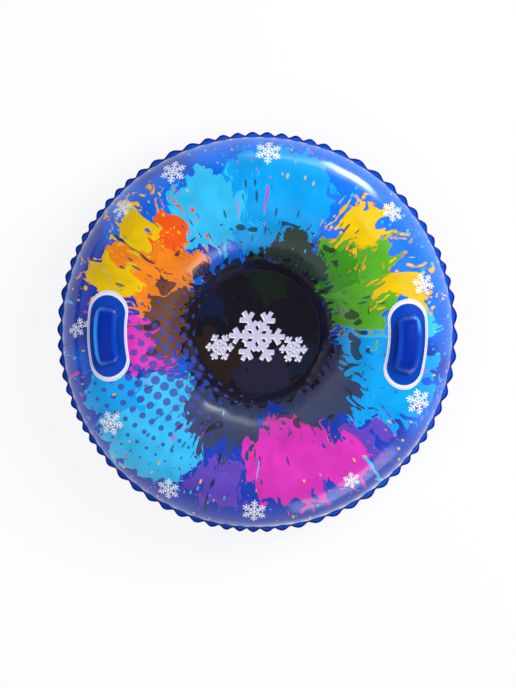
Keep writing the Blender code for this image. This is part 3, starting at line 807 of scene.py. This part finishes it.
# The ground between the splashes, a random blend of two blues leaned azure towards the upper right as
# painted light from the lit side; and the brightness of the inks, with painted shade down the inner
# slope.
GROUND_SIZE = 0.16
GROUND_LIGHT_LEAN = (0.34, 0.74, 0)
GROUND_RANGE = (0.38, 0.72)
MOTTLE_SIZE = 0.055
MOTTLE_RANGE = (0.3, 0.7, 0.90, 1.08)
INNER_SLOPE_SHADE_RANGE = (0.16, 0.32, 0.84, 1.0)

# Marks strewn over the print, one in a cell: rays of cells and their length, the chance that
# sizes a mark, how much it adds to its least size, in cells, and the metres that a cell counts for.
DROPS = (150, 0.024, "X", 0.34, 0.0, 0.014)
DASHES = (170, 0.048, "Y", 0.42, -0.15, 0.012)
FLICKS = (170, 0.10, "X", 1.6, -1.27, 0.010)
SPECKS = (230, 0.022, "X", 0.5, -0.2, 0.012)
BLOT_PITCH = 0.042
BLOTS = ("Z", 0.80, -0.36, 0.04)
BLOTS_END = 0.285
DASHES_END = 0.37
SPECKS_START = 0.375
BLOT_COVER = 0.84
MARK_COVER = 0.85
CENTRE_COVER = 0.94
FLICK_BEND = 0.3
FLICK_CHANCES = (0.45, 0.70)
SPECK_CHANCES = (0.5, 0.78)

# Dots in a tilted lattice, largest round one place and gone at their reach from it.
DOT_PITCH = 0.0275
DOT_RADIUS = 0.0112
DOT_TILT = math.radians(34)
DOTS_AZIMUTH = math.radians(206)
DOTS_DISTANCE = 0.245
DOTS_CORE = 0.04
DOTS_REACH = 0.270

# Snow crystals near the rim: how much chance adds to their places in the cells, their distances
# and their sizes, and the least of each. A branch has its start and length along an arm of 1.
RIM_CRYSTALS = 11
CRYSTAL_TURNS = (0.5, 0.25)
CRYSTAL_DISTANCES = (0.050, 0.411)
CRYSTAL_SIZES = (0.012, 0.022)
CRYSTAL_BLUR_REACH = 0.024
BRANCH_LEAN = math.pi / 3
RIM_STROKE = 0.100
RIM_BRANCHES = ((0.26, 0.20), (0.48, 0.32), (0.70, 0.26))


def way_round(add, place):
    """Azimuth of a flat place."""
    parts = add("SeparateXYZ", place)
    return add("Math", parts.outputs["Y"], parts.outputs["X"], operation="ARCTAN2")


def on_circle(add, turn, reach):
    """The two coordinates of a point at an azimuth and a distance."""
    waves = [add("Math " + wave, turn) for wave in ("COSINE", "SINE")]
    return [add("Math MULTIPLY", wave, reach) for wave in waves]


def ray_place(add, place, sides, length):
    """A place on a drum: its way round in turns of a drum of some sides, and its distance out."""
    outward = add("VectorMath NORMALIZE", place)
    wide = add("VectorMath SCALE", outward, sides / math.tau)
    out = add("VectorMath LENGTH", place)
    deep = add("Math MULTIPLY", out, 1 / length)
    return add("VectorMath ADD", wide, add("CombineXYZ", Z=deep))


def covered(add, edge, colour, over, share=1.0):
    """A colour, painted over with another where a distance from that one's edge is below zero."""
    cover = add("MapRange", edge, -EDGE_BLUR, EDGE_BLUR, share, 0.0)
    return add("Mix", cover, colour, over, data_type="RGBA")


def either(add, chance, limit, one, other):
    """One ink where a chance is low, and another where it is over a limit."""
    kind = add("Math GREATER_THAN", chance, limit)
    return add("Mix", kind, one, other, data_type="RGBA")


def two_tone(add, place, size, hex_low, hex_high):
    """Two shades that drift into each other over patches of a size."""
    tone = add("TexNoise", Vector=place, Scale=1 / size, Detail=2.0)
    return add("Mix", tone, ink(hex_low), ink(hex_high), data_type="RGBA")


def splash_edge(add, place, rough, azimuth, distance, reach):
    """Distance from the rough edge of a splash, below 0 inside it."""
    turn = math.radians(azimuth)
    centre = (distance * math.cos(turn), distance * math.sin(turn), 0)
    apart = add("VectorMath DISTANCE", place, centre)
    edge = add("Math ADD", apart, rough)
    return add("Math SUBTRACT", edge, reach)


def strewn(add, cells, chance, more, least, size):
    """Distance from the mark in each cell, below 0 inside it, and the cells' chances."""
    chances = add("SeparateXYZ", cells.outputs["Color"]).outputs
    grown = add("Math MULTIPLY_ADD", chances[chance], more, least)
    edge = add("Math SUBTRACT", cells.outputs["Distance"], grown)
    return add("Math MULTIPLY", edge, size), chances


def strewn_out(add, place, sides, length, *sizes):
    """Marks strewn in cells that are drawn out along the rays of the ring."""
    cells = add("TexVoronoi", Vector=ray_place(add, place, sides, length), Scale=1.0)
    return strewn(add, cells, *sizes)


def kept_below(add, edge, distance, limit):
    """The marks that lie where a distance is below its limit."""
    beyond = add("Math SUBTRACT", distance, limit)
    return add("Math MAXIMUM", edge, beyond)


def slanted(add, along, across, along_share, across_share, start):
    """Distance from a slanting line."""
    off = add("Math MULTIPLY_ADD", along, along_share, start)
    return add("Math MULTIPLY_ADD", across, across_share, off)


def crystal(add, place, stroke, branches):
    """Distance from a six-armed snow crystal of reach 1 round the origin, below 0 inside it."""
    turn = add("Math PINGPONG", way_round(add, place), math.pi / 6)
    reach = add("VectorMath LENGTH", place)
    along, across = on_circle(add, turn, reach)
    side = add("Math SUBTRACT", across, stroke / 2)
    end = add("Math SUBTRACT", along, 1.0)
    shape = add("Math MAXIMUM", side, end)
    lean_x, lean_y = math.cos(BRANCH_LEAN), math.sin(BRANCH_LEAN)
    for start, length in branches:
        off = slanted(add, along, across, lean_y, -lean_x, -start * lean_y)
        off = add("Math ABSOLUTE", off)
        off = add("Math SUBTRACT", off, stroke / 2)
        far = slanted(add, along, across, lean_x, lean_y, -start * lean_x - length)
        branch = add("Math MAXIMUM", off, far)
        shape = add("Math MINIMUM", shape, branch)
    return shape


def rim_crystals(add, place):
    """Distance from the nearest snow crystal near the rim, in the crystal's own reach."""
    step = math.tau / RIM_CRYSTALS
    cell = add("Math MULTIPLY", way_round(add, place), 1 / step)
    cell = add("Math FLOOR", cell)
    chance = add("TexWhiteNoise", W=cell, noise_dimensions="1D")
    chances = add("SeparateXYZ", chance.outputs["Color"]).outputs
    middle = add("Math MULTIPLY_ADD", chances["X"], *CRYSTAL_TURNS)
    middle = add("Math ADD", middle, cell)
    middle = add("Math MULTIPLY", middle, step)
    away = add("Math MULTIPLY_ADD", chances["Y"], *CRYSTAL_DISTANCES)
    size = add("Math MULTIPLY_ADD", chances["Z"], *CRYSTAL_SIZES)
    centre = add("CombineXYZ", *on_circle(add, middle, away))
    near = add("VectorMath SUBTRACT", place, centre)
    near = add("VectorRotate", Vector=near, Angle=chances["Y"], rotation_type="Z_AXIS")
    grow = add("Math DIVIDE", 1.0, size)
    near = add("VectorMath SCALE", near, grow)
    return crystal(add, near, RIM_STROKE, RIM_BRANCHES)


def torn_edge(add, place, drawn):
    """How far a splash's edge is torn: streaks along the rays, tatters and a few long runs."""
    rays = ray_place(add, place, *STREAKS)
    streak = add("TexNoise", Vector=rays, Scale=1.0, Detail=1.4, Roughness=0.45)
    ragged = add("TexNoise", Vector=drawn, Scale=1 / RAGGED_SIZE, Detail=0.6, noise_dimensions="2D")
    rough = add("Math MULTIPLY_ADD", streak, *STREAK_DEPTH)
    rough = add("Math MULTIPLY_ADD", ragged, RAGGED_DEPTH, rough)
    runs = add("TexNoise", Vector=ray_place(add, drawn, *RUNS), Scale=1.0, Detail=0.0)
    runs = add("MapRange", runs, *RUN_RANGE)
    return add("Math ADD", rough, runs)


def print_ground(add, place):
    """The ground of the print: ultramarine and azure in a random blend, leaned azure towards the upper
    right as painted light from the lit side.
    """
    tone = add("TexNoise", Vector=place, Scale=1 / GROUND_SIZE, Detail=1.0, noise_dimensions="2D")
    # Painted light: the ground is brightened to azure towards the lit upper right.
    upper = add("VectorMath DOT_PRODUCT", place, GROUND_LIGHT_LEAN)
    tone = add("Math ADD", upper, tone)
    blend = add("MapRange", tone, *GROUND_RANGE, interpolation_type="SMOOTHSTEP")
    return add("Mix", blend, ink(ULTRAMARINE), ink(AZURE), data_type="RGBA")


def splashed(add, colour, drawn, rough):
    """A colour under the splashes of paint, each with its drops round it."""
    drops = strewn_out(add, drawn, *DROPS)[0]
    for *splash, hex_colour in SPLASHES:
        edge = splash_edge(add, drawn, rough, *splash)
        near = add("Math SUBTRACT", edge, DROP_REACH)
        near = add("Math MAXIMUM", near, drops)
        edge = add("Math MINIMUM", edge, near)
        if hex_colour in (YELLOW, GREEN):
            fringe = add("Math SUBTRACT", edge, FRINGE_WIDTH)
            colour = covered(add, fringe, colour, ink(ORANGE))
        colour = covered(add, edge, colour, ink(hex_colour))
    return colour


def mottled(add, colour, drawn, out):
    """A colour that varies a little in brightness at random, and is darkened down the inner slope
    towards the middle as painted shade.
    """
    mottle = add("TexNoise", Vector=drawn, Scale=1 / MOTTLE_SIZE, Detail=1.0, noise_dimensions="2D")
    value = add("MapRange", mottle, *MOTTLE_RANGE)
    # Painted shade: darker down the inner slope, into the hole of the ring.
    deep = add("MapRange", out, *INNER_SLOPE_SHADE_RANGE)
    value = add("Math MULTIPLY", value, deep)
    return add("HueSaturation", Value=value, Color=colour)


def blotted(add, colour, place, drawn, out):
    """A colour under sooty blots round the middle and dark dashes along the rays."""
    blots = add("TexVoronoi", Vector=drawn, Scale=1 / BLOT_PITCH, voronoi_dimensions="2D")
    blots = kept_below(add, strewn(add, blots, *BLOTS)[0], out, BLOTS_END)
    colour = covered(add, blots, colour, ink(SOOT), BLOT_COVER)
    dashes = kept_below(add, strewn_out(add, place, *DASHES)[0], out, DASHES_END)
    return covered(add, dashes, colour, ink(STEEL_BLUE), MARK_COVER)


def flicked(add, colour, bent):
    """A colour under fine flicks of three inks along the bent rays."""
    flicks, chances = strewn_out(add, bent, *FLICKS)
    flick_ink = either(add, chances["Y"], FLICK_CHANCES[0], ink(MAGENTA), ink(PALE_SKY))
    flick_ink = either(add, chances["Z"], FLICK_CHANCES[1], flick_ink, ink(NAVY))
    return covered(add, flicks, colour, flick_ink)


def dotted(add, colour, place):
    """A colour under a tilted lattice of dots, largest round one place."""
    turned = add("VectorRotate", Vector=place, Angle=DOT_TILT, rotation_type="Z_AXIS")
    lattice = add(
        "TexVoronoi", Vector=turned, Scale=1 / DOT_PITCH, Randomness=0.0, voronoi_dimensions="2D"
    )
    centre = (DOTS_DISTANCE * math.cos(DOTS_AZIMUTH), DOTS_DISTANCE * math.sin(DOTS_AZIMUTH), 0)
    apart = add("VectorMath DISTANCE", place, centre)
    radius = add("MapRange", apart, DOTS_CORE, DOTS_REACH, DOT_RADIUS, 0.0)
    dots = add("Math MULTIPLY", lattice.outputs["Distance"], DOT_PITCH)
    dots = add("Math SUBTRACT", dots, radius)
    return covered(add, dots, colour, ink(INDIGO), MARK_COVER)


def specked(add, colour, place, out):
    """A colour under small specks of three inks near the rim."""
    specks, chances = strewn_out(add, place, *SPECKS)
    specks = kept_below(add, specks, SPECKS_START, out)
    speck_ink = either(add, chances["Y"], SPECK_CHANCES[0], ink(YELLOW), ink(PALE_SKY))
    speck_ink = either(add, chances["Z"], SPECK_CHANCES[1], speck_ink, ink(MAGENTA))
    return covered(add, specks, colour, speck_ink)


def splash_print(add, place):
    """Colour of the splash print at a flat place on the ring sheet."""
    wander = add("TexNoise", Vector=place, Scale=1 / WANDER_SIZE, Detail=1.0, noise_dimensions="2D")
    centred = add("VectorMath SUBTRACT", wander.outputs["Color"], (0.5, 0.5, 0.5))
    shifted = add("VectorMath SCALE", centred, WANDER_REACH)
    drawn = add("VectorMath ADD", place, shifted)
    out = add("VectorMath LENGTH", place)
    rough = torn_edge(add, place, drawn)
    colour = splashed(add, print_ground(add, place), drawn, rough)
    colour = mottled(add, colour, drawn, out)
    colour = blotted(add, colour, place, drawn, out)
    bent = add("VectorMath MULTIPLY_ADD", shifted, (FLICK_BEND,) * 3, place)
    colour = flicked(add, colour, bent)

    middle = add("Math ADD", out, rough)
    middle = add("Math SUBTRACT", middle, DARK_CENTRE_REACH)
    colour = covered(add, middle, colour, ink(DARK_CENTRE), CENTRE_COVER)
    colour = dotted(add, colour, place)
    colour = specked(add, colour, place, out)
    flake = add("Math MULTIPLY", rim_crystals(add, place), CRYSTAL_BLUR_REACH)
    return covered(add, flake, colour, ink(FROST))


def printed_sheet():
    """Calendered soft PVC sheet, printed and clear-coated: bright inks under a wet gloss."""
    made, add = finish_named("printed_soft_pvc", Roughness=0.16, IOR=1.5)
    place = add("UVMap", uv_map="print").outputs["UV"]
    return shown(made, splash_print(add, place))


# Tints in the seat's near-black, as azimuth, distance, reach and ink, and the emblem: its crystals
# as centre and reach, drawn twice, as a white edge and as a lilac face a little off it.
SEAT_TINTS = (
    (80, 0.128, 0.050, "#17231D"),
    (152, 0.128, 0.038, "#161D3C"),
    (215, 0.112, 0.064, "#2A201D"),
    (280, 0.112, 0.064, "#25243A"),
    (335, 0.130, 0.044, "#191F36"),
)
SEAT_TONE_SIZE = 0.03
SEAT_RAGGED = (0.09, -0.045)
EMBLEM_CRYSTALS = (((0, -0.008), 0.060), ((-0.080, -0.034), 0.030), ((0.080, -0.034), 0.030))
EMBLEM_LAYERS = ((-0.0016, -0.0022, "#FFFFFF"), (0, 0, "#C9C6E6"))
EMBLEM_STROKE = 0.150
EMBLEM_BRANCHES = ((0.34, 0.26), (0.66, 0.30))


def seat_print():
    """The same sheet in the seat: near-black ink with a pale snow crystal emblem."""
    made, add = finish_named("printed_seat_pvc", Roughness=0.18, Specular_IOR_Level=0.28)
    place = add("UVMap", uv_map="print").outputs["UV"]
    tone = add(
        "TexNoise", Vector=place, Scale=1 / SEAT_TONE_SIZE, Detail=1.0, noise_dimensions="2D"
    )
    rough = add("Math MULTIPLY_ADD", tone, *SEAT_RAGGED)
    colour = add("Mix", tone, ink("#14121A"), ink("#1B1824"), data_type="RGBA")
    for *tint, hex_colour in SEAT_TINTS:
        edge = splash_edge(add, place, rough, *tint)
        colour = covered(add, edge, colour, ink(hex_colour))
    for off_x, off_y, hex_colour in EMBLEM_LAYERS:
        for (x, y), reach in EMBLEM_CRYSTALS:
            where = add("VectorMath SUBTRACT", place, (x + off_x, y + off_y, 0))
            where = add("VectorMath SCALE", where, 1 / reach)
            shape = crystal(add, where, EMBLEM_STROKE, EMBLEM_BRANCHES)
            shape = add("Math MULTIPLY", shape, reach)
            colour = covered(add, shape, colour, ink(hex_colour))
    return shown(made, colour)


# Painted shade of the edge's lip: where it starts and where it is full, in from the lip, in shares of
# the peak reach.
EDGE_LIP_SHADE_RANGE = (0.52, 0.34)


def welded_edge():
    """Welded PVC in mid blue where it leaves the rim, with navy painted shade where the ruffled edge
    turns down to its lip.
    """
    made, add = finish_named("welded_soft_pvc", Roughness=0.30, Specular_IOR_Level=0.08)
    across = add("SeparateXYZ", add("UVMap", uv_map="edge")).outputs["X"]
    # Painted shade: navy towards the lip, where the edge turns down.
    dark = add("MapRange", across, *EDGE_LIP_SHADE_RANGE, interpolation_type="SMOOTHSTEP")
    colour = add("Mix", dark, ink("#1A5FD2"), ink("#08178A"), data_type="RGBA")
    return shown(made, colour)


RIB_COUNT = 420
RIB_DEPTH = 0.0002
RIB_STRENGTH = 0.4


def seat_band():
    """Heat-sealed band round the seat: the dark print, pressed flat with fine ribs."""
    made, add = finish_named("heat_sealed_pvc", Roughness=0.38, IOR=1.5)
    place = add("UVMap", uv_map="print").outputs["UV"]
    ribs = add("Math MULTIPLY", way_round(add, place), RIB_COUNT)
    ribs = add("Math SINE", ribs)
    bump = add("Bump", Height=ribs, Strength=RIB_STRENGTH, Distance=RIB_DEPTH)
    return shown(made, two_tone(add, place, SEAT_TONE_SIZE, "#1A1722", "#231F2E"), bump)


# Shares of the grip's half width, in from its border: where its top lies flat, and where the painted
# highlight along its edge comes in and fades.
GRIP_FLAT_RANGE = (0.25, 0.55)
GRIP_HIGHLIGHT_RANGE = (0.02, 0.10)
GRIP_HIGHLIGHT_FADE_RANGE = (0.44, 0.26)


def moulded_vinyl():
    """Slush-moulded soft vinyl: deep where it is thick, with a painted azure highlight along the grip's
    outer edge.
    """
    made, add = finish_named("moulded_soft_vinyl", Roughness=0.16, Specular_IOR_Level=0.32)
    moulding = add("Attribute", attribute_name="moulding").outputs["Vector"]
    parts = add("SeparateXYZ", moulding).outputs
    inset, outer, raised = parts["X"], parts["Y"], parts["Z"]
    flat = add("MapRange", inset, *GRIP_FLAT_RANGE, interpolation_type="SMOOTHSTEP")
    flat = add("Math MULTIPLY", flat, raised)
    colour = add("Mix", flat, ink("#0443B6"), ink("#022CA0"), data_type="RGBA")
    # Painted highlight: azure along the outer edge of the raised grip.
    thin = add("MapRange", inset, *GRIP_HIGHLIGHT_RANGE, interpolation_type="SMOOTHSTEP")
    fall = add("MapRange", inset, *GRIP_HIGHLIGHT_FADE_RANGE, interpolation_type="SMOOTHSTEP")
    for share in (fall, raised, outer):
        thin = add("Math MULTIPLY", thin, share)
    colour = add("Mix", thin, colour, ink("#2E94FC"), data_type="RGBA")
    return shown(made, colour)


# Where the painted shade of the weld's groove lies in from the patch's border, and its width.
WELD_GROOVE_SHADE_INSET = 0.0028
WELD_GROOVE_SHADE_WIDTH = 0.0012
PATCH_TONE_SIZE = 0.05


def white_patch():
    """White soft PVC, calendered to satin: plain, with a thin grey line of painted shade where the
    weld's pressed groove lies.
    """
    made, add = finish_named("white_soft_pvc", Roughness=0.32, Specular_IOR_Level=0.3)
    place = add("TexCoord").outputs["Object"]
    colour = two_tone(add, place, PATCH_TONE_SIZE, "#E6E4F6", "#F0EEFC")
    border = add("Attribute", attribute_name="border").outputs["Vector"]
    inset = add("SeparateXYZ", border).outputs["X"]
    # Painted shade: a greyer line where the weld's groove would shade the patch.
    off = add("Math SUBTRACT", inset, WELD_GROOVE_SHADE_INSET)
    off = add("Math ABSOLUTE", off)
    line = add("MapRange", off, WELD_GROOVE_SHADE_WIDTH, 0.0, 0.0, 1.0)
    colour = add("Mix", line, colour, ink("#A9B4D6"), data_type="RGBA")
    return shown(made, colour)


def plain_finish(name, hex_low, hex_high, grain, **sockets):
    """A plain finish in two close shades, with a grain of a size in metres."""
    made, add = finish_named(name, **sockets)
    place = add("TexCoord").outputs["Object"]
    return shown(made, two_tone(add, place, grain, hex_low, hex_high))


def blue_sheet():
    """Dyed soft PVC sheet, calendered: a plain deep blue with a soft gloss."""
    gloss = {"Roughness": 0.3, "IOR": 1.5, "Coat_Weight": 0.4, "Coat_Roughness": 0.1}
    return plain_finish("dyed_soft_pvc", "#1246B0", "#1A55C6", 0.12, **gloss)


def milky_vinyl():
    """Injection-moulded soft vinyl without dye: milky white, with a dull gloss."""
    return plain_finish("milky_soft_vinyl", "#D4DEEA", "#DFE8F2", 0.01, Roughness=0.35, IOR=1.5)


def flap_film():
    """Soft vinyl film, punched out of a rolled sheet: grey-blue, thin and nearly matt."""
    return plain_finish("clear_vinyl_film", "#C4D2E2", "#CEDAE8", 0.004, Roughness=0.42)


# The studio round the tube: white to the camera, bright at the horizon and dim overhead in gloss.
FLOOR_SIZE = 60
FLOOR_GLOW_SHARE = 0.86
BACKDROP_WHITE = 1.0
HORIZON_LIGHT = 0.71
ZENITH_LIGHT = 0.09
HORIZON_HEIGHTS = (0.10, 0.70)
GROUND_HEIGHTS = (-0.06, -0.02)
BOARD_SIZE = (1.9, 1.7, 1)
BOARD_PLACE = (-1.42, 0.05, 0.25)
BOARD_LEAN = math.radians(15)


def make_floor():
    """A plain pale floor that reads white to the camera and in gloss, and keeps a soft shadow."""
    only(None)
    bpy.ops.mesh.primitive_plane_add(size=FLOOR_SIZE)
    floor = added("floor")
    made, add = finish_named("white_floor", Roughness=0.9, Base_Color=ink("#F4F5F8"))
    nodes = made.node_tree.nodes
    glow = add("Emission", Color=ink("#FFFFFF"), Strength=1.0)
    path = add("LightPath").outputs
    seen = add("Math ADD", path["Is Camera Ray"], path["Is Glossy Ray"])
    seen = add("Math ADD", seen, path["Is Transmission Ray"], use_clamp=True)
    share = add("Math MULTIPLY", seen, FLOOR_GLOW_SHARE)
    both = add("MixShader", share, nodes["Principled BSDF"], glow)
    under = add("NewGeometry").outputs["Backfacing"]
    both = add("MixShader", under, both, add("BsdfTransparent"))
    made.node_tree.links.new(used_output(both), nodes["Material Output"].inputs["Surface"])
    floor.data.materials.append(made)
    floor.visible_shadow = False


def make_dark_board():
    """A black board, seen in gloss alone, that keeps the left of the rim deep in colour."""
    only(None)
    bpy.ops.mesh.primitive_plane_add(size=1, scale=BOARD_SIZE, location=BOARD_PLACE)
    board = bpy.context.object
    board.rotation_euler = (0, BOARD_LEAN, 0)
    board.name = "dark_board"
    black = {"Roughness": 1.0, "Specular_IOR_Level": 0.0, "Base_Color": ink("#05060A")}
    board.data.materials.append(finish_named("black_board", **black)[0])
    board.visible_camera = board.visible_diffuse = board.visible_shadow = False
    board.visible_transmission = False


# Soft boxes that light the tube, and cards that show in its gloss alone, where a beam is given:
# name, azimuth and elevation in degrees, distance and size in metres, power and beam in degrees.
SOFT_BOXES = (
    ("key_light", 28, 50, 3.4, (2.2, 2.2), 105, None),
    ("fill_light", 225, 62, 3.4, (2.6, 2.6), 42, None),
    ("under_light", 0, -90, 2.5, (2.4, 2.4), 34, None),
    ("upper_card", 60, 1.1, 1.65, (0.50, 0.50), 32, 27),
    ("upper_glow", 63, 3.6, 1.62, (0.95, 0.85), 5, 30),
    ("wide_card", 76, 13, 1.7, (1.3, 0.24), 3, 70),
    ("lower_card", -58, 7, 1.30, (0.90, 0.62), 7.0, 90),
)
FLOOR_CARD_AZIMUTH = math.radians(-58)
FLOOR_CARD_REACH = 0.83
FLOOR_CARD_LEVEL = 0.006
FLOOR_CARD = ("floor_card", (0.80, 0.80), 2.6, 105)


def area_lamp(name, size, power, beam):
    """A soft box; one with a beam is a card, as bright straight ahead as without the beam."""
    lamp = bpy.data.lights.new(name, "AREA")
    lamp.shape = "RECTANGLE"
    lamp.size, lamp.size_y = size
    lamp.energy = power
    box = bpy.data.objects.new(name, lamp)
    bpy.context.scene.collection.objects.link(box)
    box.visible_camera = False
    box.visible_glossy = beam is not None
    box.visible_diffuse = beam is None
    if beam:
        lamp.spread = math.radians(beam)
        lamp.energy = power * (1 - lamp.spread / 2 / math.tan(lamp.spread / 2))
    return box


def light_studio():
    """The soft boxes turned to the tube, and one card laid flat on the floor beside it."""
    for name, azimuth, elevation, distance, size, power, beam in SOFT_BOXES:
        turn, lift = math.radians(azimuth), math.radians(elevation)
        away = Vector((math.cos(turn) * math.cos(lift), math.sin(turn) * math.cos(lift), math.sin(lift)))
        box = area_lamp(name, size, power, beam)
        box.location = away * distance + Vector((0, 0, SEAM_HEIGHT))
        box.rotation_euler = away.to_track_quat("Z", "Y").to_euler()
    flat = area_lamp(*FLOOR_CARD)
    flat.location = (
        FLOOR_CARD_REACH * math.cos(FLOOR_CARD_AZIMUTH),
        FLOOR_CARD_REACH * math.sin(FLOOR_CARD_AZIMUTH),
        FLOOR_CARD_LEVEL,
    )
    flat.rotation_euler = (math.pi, 0, FLOOR_CARD_AZIMUTH)


def surround_with_studio():
    """The studio walls as a world: a light horizon, a dim ceiling and nothing below the floor."""
    world = bpy.data.worlds.new("studio")
    bpy.context.scene.world = world
    world.use_nodes = True
    add = partial(add_node, world.node_tree)
    place = add("TexCoord").outputs["Generated"]
    height = add("SeparateXYZ", place).outputs["Z"]
    lights = (*HORIZON_HEIGHTS, HORIZON_LIGHT, ZENITH_LIGHT)
    level = add("MapRange", height, *lights, interpolation_type="SMOOTHSTEP")
    above = add("MapRange", height, *GROUND_HEIGHTS)
    level = add("Math MULTIPLY", level, above)
    seen = add("LightPath").outputs["Is Camera Ray"]
    level = add("Mix", seen, level, BACKDROP_WHITE, data_type="FLOAT")
    back = world.node_tree.nodes["Background"]
    world.node_tree.links.new(used_output(level), back.inputs["Strength"])
    back.inputs["Color"].default_value = (1, 1, 1, 1)


def place_camera():
    """Straight above the tube, far off, with the tube where the photograph has it."""
    camera = bpy.data.objects.new("camera", bpy.data.cameras.new("camera"))
    bpy.context.scene.collection.objects.link(camera)
    camera.data.sensor_width = SENSOR_SIZE
    camera.data.lens = SENSOR_SIZE * CAMERA_DISTANCE / (PHOTO_HEIGHT_PX * METRES_PER_PX)
    right = (PHOTO_WIDTH_PX / 2 - TUBE_CENTRE_PX[0]) * METRES_PER_PX
    down = (PHOTO_HEIGHT_PX / 2 - TUBE_CENTRE_PX[1]) * METRES_PER_PX
    aim = Matrix.Rotation(TUBE_TURN, 3, "Z") @ Vector((right, -down, 0))
    camera.location = (aim.x, aim.y, SEAM_HEIGHT + CAMERA_DISTANCE)
    camera.rotation_euler = (0, 0, TUBE_TURN)
    camera.data.clip_end = CAMERA_REACH
    bpy.context.scene.camera = camera


place_camera()
light_studio()
surround_with_studio()
make_floor()
make_dark_board()

seat = seat_print()
blue = blue_sheet()
white = white_patch()
handle = moulded_vinyl()
milky = milky_vinyl()
valve = valve_frame()

make_top_skin(printed_sheet())
make_bottom_skin(blue, valve)
make_scalloped_edge(welded_edge())
make_disc("seat_panel_skin", PANEL_TOP, True, "centre_panel", seat)
make_disc("floor_skin", FLOOR_BOTTOM, False, "centre_floor", blue)
make_weld_band(seat_band())
for side, azimuth in HANDLE_AZIMUTHS.items():
    make_patch(side, azimuth, white)
    make_handle(side, azimuth, handle)
make_valve_flange(valve, milky)
make_valve_stem(valve, milky)
make_valve_plug(valve, milky)
flap = frame["nodes"]["valve_flap"]
flap.data.materials.clear()
flap.data.materials.append(flap_film())

bpy.context.scene.view_settings.view_transform = "Standard"
